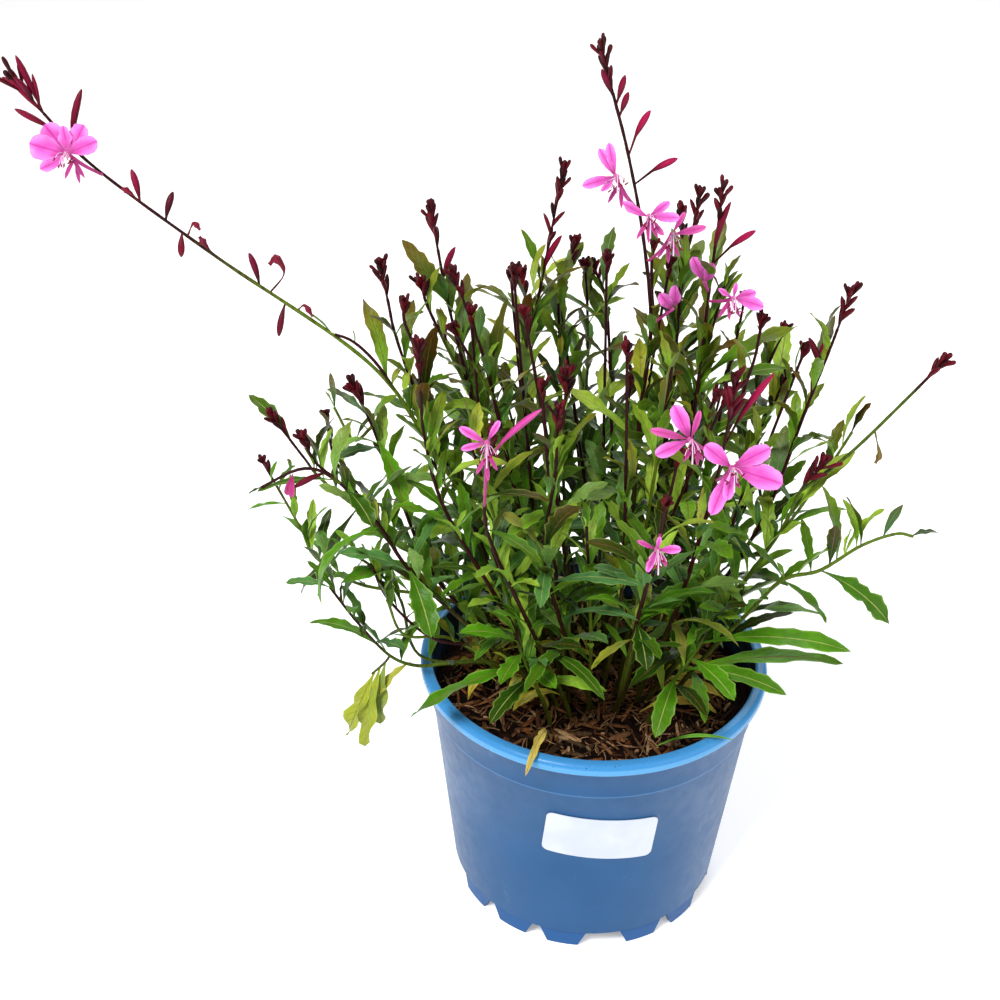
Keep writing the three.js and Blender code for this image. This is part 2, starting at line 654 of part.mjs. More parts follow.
// Which of the four side faces between two rings looks most along a direction.
function faceTowards(lower, upper, direction) {
  const centre = lower.concat(upper).reduce((sum, point) => sum.add(point), new THREE.Vector3()).divideScalar(8);
  const look = (k) => {
    const next = (k + 1) % 4;
    const middle = [lower[k], lower[next], upper[k], upper[next]]
      .reduce((sum, point) => sum.add(point), new THREE.Vector3()).divideScalar(4);
    return middle.sub(centre).normalize().dot(direction);
  };
  return [0, 1, 2, 3].reduce((best, k) => (look(k) > look(best) ? k : best));
}

// A tube along a curve with sprouts on it. Each sprout has a place, a direction and the rings of its limb.
function sproutingTube(curve, firstRadius, lastRadius, sprouts, { first = 0, last = curve.spans, step = 0.5,
  second = first + step } = {}) {
  const nodes = sprouts.toSorted((a, b) => a.place - b.place).map((sprout) => {
    const half = NODE_HALF_HEIGHT / curve.speed(sprout.place);
    return { sprout, low: sprout.place - half, high: sprout.place + half };
  });
  for (let i = 1; i < nodes.length; i += 1) {
    if (nodes[i].low - nodes[i - 1].high > NODE_HALF_HEIGHT / curve.speed(nodes[i].low)) continue;
    const shared = (nodes[i].low + nodes[i - 1].high) / 2;
    nodes[i].low = shared;
    nodes[i - 1].high = shared;
  }
  const places = nodes.flatMap((node) => [node.low, node.high]);
  const clearOf = (place) => nodes.every((node) => {
    const spare = 3 / curve.speed(node.low);
    return place < node.low - spare || place > node.high + spare;
  });
  const ends = [first, last];
  for (let place = second; place < last - step / 2; place += step) {
    if (clearOf(place)) places.push(place);
  }
  const all = [...new Set([...ends, ...places])].sort((a, b) => a - b);
  const radiusAt = (place) => mix(firstRadius, lastRadius, (place - first) / (last - first));
  const rings = ringsAlong(curve, all, radiusAt);
  const limbs = nodes.map((node) => {
    const segment = all.indexOf(node.low);
    const side = faceTowards(rings[segment], rings[segment + 1], node.sprout.direction);
    return { ...node.sprout.limb, segment, side };
  });
  return { rings, limbs };
}

// The rings of a thin blade from its foot to its tip: arched towards lift, folded along the midrib and
// waved at its edges.
function bladeRings({ foot, tip, lift = UP, arch, halfWidth, stations, fold = 0.25 }, spare = 0) {
  const chord = new THREE.Vector3().subVectors(tip, foot);
  const along = chord.clone().normalize();
  const side = new THREE.Vector3().crossVectors(along, lift).normalize();
  const rise = new THREE.Vector3().crossVectors(side, along);
  const middle = foot.clone().addScaledVector(chord, 0.5).addScaledVector(rise, arch * chord.length() * 2);
  const end = tip.clone().addScaledVector(along, spare);
  const curve = new THREE.QuadraticBezierCurve3(foot, middle, end);
  const rings = stations.map(([place, left, right]) => {
    const centre = curve.getPoint(place);
    const normal = new THREE.Vector3().crossVectors(side, curve.getTangent(place)).normalize();
    const halfThickness = BLADE_THICKNESS / 2 + spare;
    const edge = (share, sign) => {
      const width = Math.max(halfWidth * share, PETIOLE_HALF_WIDTH) + spare;
      return centre.clone().addScaledVector(side, sign * width).addScaledVector(normal, fold * width);
    };
    return [
      edge(left, -1),
      centre.clone().addScaledVector(normal, halfThickness),
      edge(right, 1),
      centre.clone().addScaledVector(normal, -halfThickness),
    ];
  });
  return [...rings, [end]];
}

// The rings of a four-sided bud, widest past its middle.
function budRings(foot, tip, radius) {
  const along = new THREE.Vector3().subVectors(tip, foot).normalize();
  const helper = Math.abs(along.z) > 0.9 ? new THREE.Vector3(1, 0, 0) : UP;
  const side = new THREE.Vector3().crossVectors(helper, along).normalize();
  const across = new THREE.Vector3().crossVectors(along, side);
  const centre = foot.clone().lerp(tip, 0.55);
  const ring = [0, 1, 2, 3].map((k) => centre.clone()
    .addScaledVector(side, radius * Math.cos(k * Math.PI / 2))
    .addScaledVector(across, radius * Math.sin(k * Math.PI / 2)));
  return [ring, [tip.clone()]];
}

// A bud as a closed solid of its own, from its foot over its widest ring to its tip.
function budSolid(foot, [ring, [tip]]) {
  const geometry = new THREE.BufferGeometry();
  geometry.setFromPoints([foot, ...ring, tip]);
  geometry.setIndex(ring.flatMap((_, k) => {
    const here = k + 1;
    const next = (k + 1) % ring.length + 1;
    return [0, next, here, here, next, ring.length + 1];
  }));
  return toSolid(geometry);
}

function budSprout(curve, place, tip, radius) {
  const foot = curve.point(place);
  return { place, direction: tip.clone().sub(foot).normalize(), limb: { rings: budRings(foot, tip, radius) } };
}

// A direction tilted from an axis, at an angle around it.
function tiltedFrom(axis, tilt, around) {
  const helper = Math.abs(axis.z) > 0.9 ? new THREE.Vector3(1, 0, 0) : UP;
  const side = new THREE.Vector3().crossVectors(axis, helper).normalize();
  const across = new THREE.Vector3().crossVectors(side, axis);
  return axis.clone().multiplyScalar(Math.cos(tilt))
    .addScaledVector(side, Math.sin(tilt) * Math.cos(around))
    .addScaledVector(across, Math.sin(tilt) * Math.sin(around));
}

// Buds around the last stretch of a curve: long ones held out below, short ones upright at the top.
function clusterSprouts(curve, [length, count, budLength], seed) {
  const draw = seededDraws(seed);
  const end = curve.spans;
  const sprouts = [];
  for (let i = 0; i < count; i += 1) {
    const share = (i + 0.5) / count;
    const place = end - length * (1 - share) / curve.speed(end);
    const tilt = mix(36, 12, share) * DEGREE;
    const around = GOLDEN_TURN * i + draw();
    const reach = budLength * (1.1 - 0.4 * share) * (0.9 + 0.2 * draw());
    const direction = tiltedFrom(curve.direction(place), tilt, around);
    const tip = curve.point(place).addScaledVector(direction, reach);
    sprouts.push(budSprout(curve, place, tip, 0.95 + 0.35 * draw()));
  }
  return sprouts;
}

// The rings that end a tube in a bud.
function endBud(curve, length) {
  const end = curve.point(curve.spans);
  return budRings(end, end.clone().addScaledVector(curve.direction(curve.spans), length), 1.1);
}

// A stem starts straight above its foot, which stands in the soil.
function stemCurve(stem, footHeight) {
  const root = [stem.path[0][0], stem.path[0][1], footHeight];
  return curveThrough([root, ...stem.path].map(vector));
}

// The leaf that a rule gives for a place in the row, before it is turned clear of its neighbours.
function ruledLeaf(stem, number, draw) {
  const share = (number + 0.6 * draw()) / stem.leaves;
  const azimuth = GOLDEN_TURN * number + stem.seed + (draw() - 0.5) * 0.6;
  const length = stem.leafLength * (1.15 - 0.35 * share) * (0.88 + 0.24 * draw());
  const elevation = mix(8, 50, share) * DEGREE + (draw() - 0.5) * 0.35;
  const halfWidth = length * (0.135 + 0.03 * draw());
  const arch = 0.06 + 0.09 * draw();
  const shapeFor = (foot, turn, lift, scale) => {
    const angle = azimuth + turn * DEGREE;
    const rise = elevation + lift * DEGREE;
    const reach = length * scale;
    const tip = foot.clone().add(new THREE.Vector3(
      reach * Math.cos(rise) * Math.cos(angle),
      reach * Math.cos(rise) * Math.sin(angle),
      reach * Math.sin(rise),
    ));
    const stations = reach < SHORT_LEAF ? SHORT_STATIONS : LEAF_STATIONS;
    return { foot, tip, arch, halfWidth: halfWidth * scale, stations };
  };
  return { place: mix(stem.from, stem.to, share), shapeFor };
}

// A leaf set by hand: its tip is given, and it also turns about its foot where it must.
function setLeaf([place, tipPoint, halfWidth]) {
  const shapeFor = (foot, turn, lift, scale) => {
    const reach = vector(tipPoint).sub(foot).applyAxisAngle(UP, turn * DEGREE / 3).multiplyScalar(scale);
    reach.z += lift / 3;
    const stations = halfWidth < 3.2 ? NARROW_STATIONS : LEAF_STATIONS;
    return { foot, tip: foot.clone().add(reach), arch: 0.08, halfWidth, stations };
  };
  return { place, shapeFor };
}

// All leaves of a stem in order of place, moved apart where two would leave it at one point.
function leavesOf(stem, curve, takenPlaces) {
  const draw = seededDraws(stem.seed);
  const leaves = (stem.tips ?? []).map((tip) => ({ ...setLeaf(tip), byHand: true }));
  for (let i = 0; i < stem.leaves; i += 1) leaves.push(ruledLeaf(stem, i, draw));
  const taken = [...takenPlaces];
  for (const leaf of leaves) {
    const space = NODE_SPACING / curve.speed(leaf.place);
    while (taken.some((other) => Math.abs(other - leaf.place) < space)) leaf.place -= space / 2;
    taken.push(leaf.place);
  }
  return leaves;
}

const placed = [];

function keep(part, owner) {
  placed.push({ ...part, owner });
  return part;
}

// The first way to hold a leaf that crosses nothing, or null. Its own stem is met only by the foot.
function placeLeaf({ place, shapeFor }, plant) {
  const { curve, name } = plant;
  const foot = curve.point(place);
  for (const scale of LENGTH_TRIES) {
    for (const lift of LIFT_TRIES) {
      for (const turn of TURN_TRIES) {
        const shape = shapeFor(foot, turn, lift, scale);
        const direction = shape.tip.clone().sub(foot).normalize();
        if (Math.abs(direction.dot(curve.direction(place))) > STEEPEST_LEAF) continue;
        const rings = bladeRings(shape, CLEARANCE);
        const whole = toSolid(skin({ rings }));
        const beyondFoot = toSolid(skin({ rings: rings.slice(1) }));
        if (placed.some((other) => overlaps(other.owner === name ? beyondFoot : whole, other))) continue;
        keep(toSolid(skin({ rings: bladeRings(shape) })), name);
        return { place, direction, limb: { rings: bladeRings(shape).slice(1) } };
      }
    }
  }
  return null;
}

const pot = keep(buildPot(), 'pot');
const label = keep(buildLabel(), 'label');
const soilBody = buildSoilBody();

function stemSkin({ stem, curve, sprouts }) {
  const trunk = sproutingTube(curve, stem.radius, STEM_TIP_RADIUS, sprouts, { second: 1, step: 1 });
  if (stem.crown) trunk.rings.push(...endBud(curve, stem.crown[2]));
  return toSolid(skin(trunk));
}

// A side branch as a sprout of its stem, with its own cluster of buds.
function branchSprout(stem, curve) {
  const { from, points, crown } = stem.branch;
  const foot = curve.point(from);
  const line = curveThrough([foot, ...points.map(vector)]);
  const limb = sproutingTube(line, 1, STEM_TIP_RADIUS, clusterSprouts(line, crown, stem.seed + 60), { first: 0.25 });
  limb.rings.push(...endBud(line, crown[2]));
  for (const bud of limb.limbs) bud.segment += 1;
  return { place: from, direction: line.direction(0), limb };
}

// Stems and heads first, so that every leaf keeps clear of them.
const plants = STEMS.map((stem) => {
  const curve = stemCurve(stem, STEM_FOOT_HEIGHT);
  const sprouts = (stem.buds ?? []).map(([place, tip]) => budSprout(curve, place, vector(tip), 1.4));
  if (stem.crown) sprouts.push(...clusterSprouts(curve, stem.crown, stem.seed));
  if (stem.branch) sprouts.push(branchSprout(stem, curve));
  const name = stem.name;
  keep(stemSkin({ stem, curve, sprouts }), name);
  const holeRadius = stem.radius + HOLE_GAP * Math.SQRT2;
  const holeLine = stemCurve(stem, STEM_FOOT_HEIGHT - JOINT_GAP);
  const hole = toSolid(skin(sproutingTube(holeLine, holeRadius, holeRadius, [], { last: 1, step: 1 })));
  let head = null;
  if (stem.head) {
    const [length, , budLength] = stem.head;
    const along = curve.direction(curve.spans);
    const base = curve.point(curve.spans).addScaledVector(along, JOINT_GAP);
    const axis = straight(base, base.clone().addScaledVector(along, length));
    const trunk = sproutingTube(axis, STEM_TIP_RADIUS, 0.6, [], { step: 2 });
    trunk.rings.push(...endBud(axis, budLength * 0.8));
    const buds = clusterSprouts(axis, stem.head, stem.seed).map((sprout) => (
      budSolid(axis.point(sprout.place), sprout.limb.rings)
    ));
    head = keep(join([toSolid(skin(trunk)), ...buds]), `${name}_buds`);
  }
  return { name, stem, curve, sprouts, hole, head };
});

const soil = keep(cut(soilBody, plants.map((plant) => plant.hole)), 'soil');

// An open flower: a slim tube, petals around its mouth, stamens and folded-back sepals.
function buildBloom({ stem, at, centre, petals }, seed) {
  const draw = seededDraws(seed);
  const { curve, stem: { radius } } = plants.find((plant) => plant.name === stem);
  const heart = vector(centre);
  const facing = new THREE.Vector3(0, -0.86, 0.51);
  const right = new THREE.Vector3(1, 0, 0);
  const top = new THREE.Vector3().crossVectors(facing, right).normalize();
  const onStem = curve.point(at);
  const standOff = mix(radius, STEM_TIP_RADIUS, at / curve.spans) + 2 * JOINT_GAP;
  const away = heart.clone().sub(onStem).projectOnPlane(curve.direction(at)).normalize();
  const start = onStem.clone().addScaledVector(away, standOff);
  const mouth = heart.clone().addScaledVector(facing, 2);
  const tube = curveThrough([start, start.clone().lerp(heart, 0.5).addScaledVector(away, 1), heart, mouth]);
  const sprouts = [];
  const spread = (place, angle, rings) => {
    const direction = right.clone().multiplyScalar(Math.cos(angle)).addScaledVector(top, Math.sin(angle));
    sprouts.push({ place, direction, limb: { rings } });
  };
  const blade = (place, angle, length, halfWidth, lean, stations) => {
    const foot = tube.point(place);
    const tip = foot.clone()
      .addScaledVector(right, length * Math.cos(angle))
      .addScaledVector(top, length * Math.sin(angle))
      .addScaledVector(facing, length * lean);
    const shape = { foot, tip, lift: facing, arch: -0.05, halfWidth, stations, fold: 0.12 };
    spread(place, angle, bladeRings(shape).slice(1));
  };
  petals.forEach(([angle, length], number) => {
    blade(2.05 + 0.28 * number, angle * DEGREE, length, length * 0.34, 0.15, PETAL_STATIONS);
  });
  for (const [number, angle] of [-60, -120].entries()) {
    blade(1.7 - 0.12 * number, angle * DEGREE, 8, 1, -0.25, NARROW_STATIONS);
  }
  const trunk = sproutingTube(tube, 0.6, 1.1, sprouts, { step: 1 });
  const tip = mouth.clone().addScaledVector(facing, 4).addScaledVector(top, -6 - 2 * draw());
  trunk.rings.push(...budRings(mouth, tip, 0.6));
  return toSolid(skin(trunk));
}

const blooms = BLOOMS.map((bloom, number) => {
  const part = buildBloom(bloom, 70 + number);
  return { name: bloom.name, part: keep(part, `bloom_${bloom.name}`) };
});

// Loose things at the rim: withered leaves that hang from the trailing stem, a dry leaf and a grass blade.
const WITHERED_STALK = [[-92.3, -25.7, 138.5], [-100, -27, 131]];
const WITHERED_TIPS = [[-112, -29, 97], [-104, -33, 94], [-97, -29, 104]];

function buildWithered() {
  const [start, knot] = WITHERED_STALK.map(vector);
  const line = straight(start, knot);
  const sprouts = WITHERED_TIPS.map((point, number) => {
    const place = 1.6 - 0.6 * number;
    const shape = {
      foot: line.point(place), tip: vector(point), lift: new THREE.Vector3(-0.4, -1, 0), arch: 0.06,
      halfWidth: 4, stations: LEAF_STATIONS, fold: 0.5,
    };
    const direction = shape.tip.clone().sub(shape.foot).normalize();
    return { place, direction, limb: { rings: bladeRings(shape).slice(1) } };
  });
  return toSolid(skin(sproutingTube(line, 0.7, 0.8, sprouts, { step: 2 })));
}

const withered = keep(buildWithered(), 'withered');
const dryLeaf = keep(toSolid(skin({ rings: bladeRings({
  foot: new THREE.Vector3(-20, -46, 109.8), tip: new THREE.Vector3(-33, -86, 120.3), arch: 0.26, halfWidth: 3,
  stations: LEAF_STATIONS,
}) })), 'dry_leaf');
const grassBlade = keep(toSolid(skin({ rings: bladeRings({
  foot: new THREE.Vector3(26, -52, 113), tip: new THREE.Vector3(56, -65, 128), arch: 0.12, halfWidth: 1.6,
  stations: NARROW_STATIONS,
}) })), 'grass_blade');

// Hand-set leaves take their places first, then the ruled ones.
for (const plant of plants) {
  plant.leaves = leavesOf(plant.stem, plant.curve, plant.sprouts.map((sprout) => sprout.place));
}
for (const byHand of [true, undefined]) {
  for (const plant of plants) {
    for (const leaf of plant.leaves.filter((one) => one.byHand === byHand)) {
      const sprout = placeLeaf(leaf, plant);
      if (sprout) plant.sprouts.push(sprout);
    }
  }
}

addPart('pot', pot, COLOURS.pot, 0.45);
addPart('soil', soil, COLOURS.soil, 0.95);
addPart('label', label, COLOURS.label, 0.5);
for (const plant of plants) {
  addPart(`stem_${plant.name}`, stemSkin(plant), COLOURS.leaf, 0.55);
  if (plant.head) addPart(`buds_${plant.name}`, plant.head, COLOURS.bud, 0.5);
}
for (const { name, part } of blooms) addPart(`bloom_${name}`, part, COLOURS.bloom, 0.5);
addPart('withered_leaves', withered, COLOURS.withered, 0.7);
addPart('dry_leaf', dryLeaf, COLOURS.dry, 0.8);
addPart('grass_blade', grassBlade, COLOURS.grass, 0.6);

export default group;
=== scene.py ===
import math

import bmesh
import bpy
import numpy as np
from mathutils import Matrix, Vector, noise


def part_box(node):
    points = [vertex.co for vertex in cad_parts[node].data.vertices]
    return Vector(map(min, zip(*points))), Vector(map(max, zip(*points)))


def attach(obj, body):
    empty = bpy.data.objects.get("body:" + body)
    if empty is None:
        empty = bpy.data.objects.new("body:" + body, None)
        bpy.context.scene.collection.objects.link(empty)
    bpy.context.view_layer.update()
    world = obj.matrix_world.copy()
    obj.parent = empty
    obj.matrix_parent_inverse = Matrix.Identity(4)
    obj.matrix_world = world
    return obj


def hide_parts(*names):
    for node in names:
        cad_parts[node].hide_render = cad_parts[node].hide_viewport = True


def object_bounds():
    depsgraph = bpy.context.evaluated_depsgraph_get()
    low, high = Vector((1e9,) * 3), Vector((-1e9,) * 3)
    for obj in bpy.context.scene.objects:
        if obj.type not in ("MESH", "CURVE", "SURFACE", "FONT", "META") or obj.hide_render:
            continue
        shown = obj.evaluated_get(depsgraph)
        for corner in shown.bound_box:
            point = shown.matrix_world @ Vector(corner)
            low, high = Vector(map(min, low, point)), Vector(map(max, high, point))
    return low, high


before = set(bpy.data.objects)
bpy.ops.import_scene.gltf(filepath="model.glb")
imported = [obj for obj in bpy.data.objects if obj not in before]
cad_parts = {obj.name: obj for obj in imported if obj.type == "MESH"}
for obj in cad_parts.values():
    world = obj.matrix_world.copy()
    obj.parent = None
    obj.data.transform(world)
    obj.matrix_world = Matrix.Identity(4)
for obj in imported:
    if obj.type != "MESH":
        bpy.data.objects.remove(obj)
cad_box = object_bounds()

MM = 0.001
GOLDEN_TURN = math.radians(137.5)
UP = np.array([0.0, 0.0, 1.0])
pot_box = np.array(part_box("pot"))
POT_AXIS = np.array([pot_box[:, 0].mean(), pot_box[:, 1].mean(), 0.0])

# Pot
RIM_RADIUS = 80
POT_HEIGHT = 125
LIP_DEPTH = 5.4
LIP_INNER_RADIUS = 74.6
SHOULDER_RADIUS = 74.4
SHOULDER_HEIGHT = 103
SHOULDER_STEP = 0.8
WALL_FOOT_RADIUS = 64.8
WALL_FOOT_HEIGHT = 9.3
WALL_THICKNESS = 1.7
FLOOR_UNDERSIDE = 7
FLOOR_TOP = 9
DRAIN_RADIUS = 5
DRAIN_RING_RADIUS = 40
DRAIN_COUNT = 4
FOOT_OUTER_RADIUS = 64
FOOT_INNER_RADIUS = 61.2
FOOT_TOP_ANGLE = 20
FOOT_BOTTOM_ANGLE = 13
FOOT_AZIMUTHS = [-57, -34, -11, 23, 46, 80, 103, 126, 160, 183, 217, 240, 263]
FOOT_STEPS = 6
# Radii of the lip's lower, upper and inner edge.
LIP_ROUNDS = (1.1, 2.4, 1.3)
POT_SECTORS = 144
DRAIN_SECTORS = 24

# Soil
SOIL_GAP = 0.45
SOIL_EDGE_HEIGHT = 107
SOIL_CROWN_RISE = 4
SOIL_RINGS = 56
SOIL_SECTORS = 150
CHIP_COUNT = 1000
FIBRE_COUNT = 420
STEM_FOOT_HEIGHT = 97

# Label
LABEL_SIZE = (50, 25)
LABEL_CORNER = 3
LABEL_CENTRE_HEIGHT = 76.5
LABEL_AZIMUTH = 1.3
LABEL_TILT = math.radians(-4.6)
LABEL_COLUMNS = 36
LABEL_ROWS = 8
# How far the sticker's back and front stand out from the wall.
LABEL_LAYERS = (0.14, 0.5)

# Plant. The solids' stems end in STEM_TIP_RADIUS, and the finer ones in FINE_TIP_RADIUS, with a ring of
# points every STEM_STEP. Edges sharper than EDGE_ANGLE degrees are crisp.
STEM_TIP_RADIUS = 0.75
FINE_TIP_RADIUS = 0.62
STEM_STEP = 3.0
EDGE_ANGLE = 70
STEM_SIDES = 8
JOINT_GAP = 0.3
NODE_SPACING = 3
SIDE_SHOOT_RADIUS = 0.75
TURN_TRIES = [0, 24, -24, 48, -48, 76, -76, 108, -108, 150]
LIFT_TRIES = [0, 14, -14, 30]
LENGTH_TRIES = [1, 0.8, 0.62]
SAME_POINT = 0.05

# Colour of the leaves: old ones yellow near the soil, and bronze ones between two heights.
OLD_BELOW = 150
OLD_WITHIN = 66
OLD_CHANCE = 0.62
BRONZE_HEIGHTS = (195, 290)

# The share of a stem's length from which it turns dark red. The leafy side shoots of two stems are red nearly
# all along, and those of the others not at all.
USUAL_RED_FROM = 0.32
RED_FROM = {
    "wand_left": 0.67,
    "right_branch": 1.3,
    "left_low": 0.9,
    "left_outer": 0.75,
    "right_fork": 0.8,
    "left_trailing": 0.75,
    "shoot_front_left": 0.8,
    "shoot_front_right": 0.8,
}
NEVER_RED = 1.1
RED_SHOOT_STEMS = ("left_front", "wand_left")

# The stem whose listed leaf turns its face to the front, and the way that it faces.
TURNED_LEAF_STEM = "upper_left"
TURNED_LEAF_LIFT = np.array([0.3, -1, 0.4])

# The stem whose long bud is about to open, and is as pink as a petal.
OPENING_BUD_STEM = "front_left_bloom"

# Extra leaves, which the solids don't have, run from EXTRA_START to a share of the stem's length. On some
# stems they keep to their own stretch, in places along the stem. Their lengths and their rise in degrees
# change from the first number to the second along it. A share of them have a tuft beside them.
EXTRA_START = 1.7
EXTRA_STOP = 0.86
EXTRA_SPACING = 7.4
EXTRA_LENGTHS = (34, 22)
EXTRA_RISES = (28, 70)
EXTRA_RANGE = {
    "wand_left": (1.7, 3.7),
    "wand_top": (1.7, 4.0),
    "back_spike": (1.7, 4.3),
    "right_fork": (1.9, 3.2),
    "right_branch": (2.2, 6.0),
    "left_outer": (1.7, 4.6),
    "left_low": (1.8, 5.2),
    "left_trailing": (4.6, 6.9),
    "front_bloom": (1.8, 2.9),
    "front_left_bloom": (1.8, 3.4),
    "front_right_bloom": (1.8, 3.2),
}
TUFT_SHARE = 0.4
TUFT_LENGTHS = (7, 15)

# The finer pieces are slimmer than the solids: the share of the radius or the width that each keeps.
STEM_SHARE = 0.94
BUD_SHARE = 0.88
SET_LEAF_SHARE = 0.88
LEAF_SHARE = 0.64
LOW_LEAF_SHARE = 0.5
PETAL_SHARE = 0.92

# Where extra leaves may be: in the box of the solids, and above the lip outside OPEN_RADIUS. Inside it they
# stay above a slope that rises towards the front, so that the soil shows there.
BOX_LOW = np.array(cad_box[0]) + 0.001
BOX_HIGH = np.array(cad_box[1]) - 0.001
OPEN_RADIUS = 69
BARE_FRONT_HEIGHT = 118
BARE_FRONT_SLOPE = 0.76

# The thin shoots that fill the middle of the plant: how many there are, and how high and far out they end.
# Of the share that is tall, two in three are bare dark stalks in their upper part.
INNER_SHOOTS = 30
INNER_TALL_SHARE = 0.6
INNER_HEIGHTS = (186, 304)
INNER_SPREAD = (24, 74)
INNER_SPACING = 8.2
INNER_LENGTHS = (32, 24)
INNER_RISES = (28, 76)
INNER_BUDS = (8, 4, 7)

# Old shrivelled leaves: how many, how far from the pot's axis they start and may end, and how far forward.
OLD_LEAF_COUNT = 84
OLD_LEAF_REACH = (10, 50)
OLD_LEAF_LIMIT = 67
OLD_LEAF_FRONT = -36

# Blooms all face the front and a little up.
BLOOM_FACING = np.array([0, -0.86, 0.51])
BLOOM_RIGHT = np.array([1.0, 0, 0])
BLOOM_UP = np.cross(BLOOM_FACING, BLOOM_RIGHT) / np.linalg.norm(np.cross(BLOOM_FACING, BLOOM_RIGHT))
STAMEN_COUNT = 7

# Seeds of the random draws. A stem draws by its own seed, and the blooms count up from the first one.
BARK_SEED = 5
INNER_SEED = 77
REMNANT_SEED = 31
WITHERED_SEED = 9
OLD_LEAF_SEED = 15
FIRST_BLOOM_SEED = 70

# Camera, in millimetres and angles, and the floor and the soft lights, in metres and watts: each light's
# place, size and power.
CAMERA_PLACE = (-44.0, -516.2, 516.3)
CAMERA_PITCH = math.radians(31.024)
CAMERA_ROLL = math.radians(0.703)
FLOOR_REACH = 8
LIGHT_AIM = (0, 0, 0.2)
LIGHTS = [
    ("key", (-0.8, -1.1, 1.9), 0.7, 56),
    ("fill", (1.5, -0.9, 1.2), 1.6, 16),
    ("back", (0.5, 1.5, 1.7), 1.2, 18),
]
WORLD_STRENGTH = 0.37
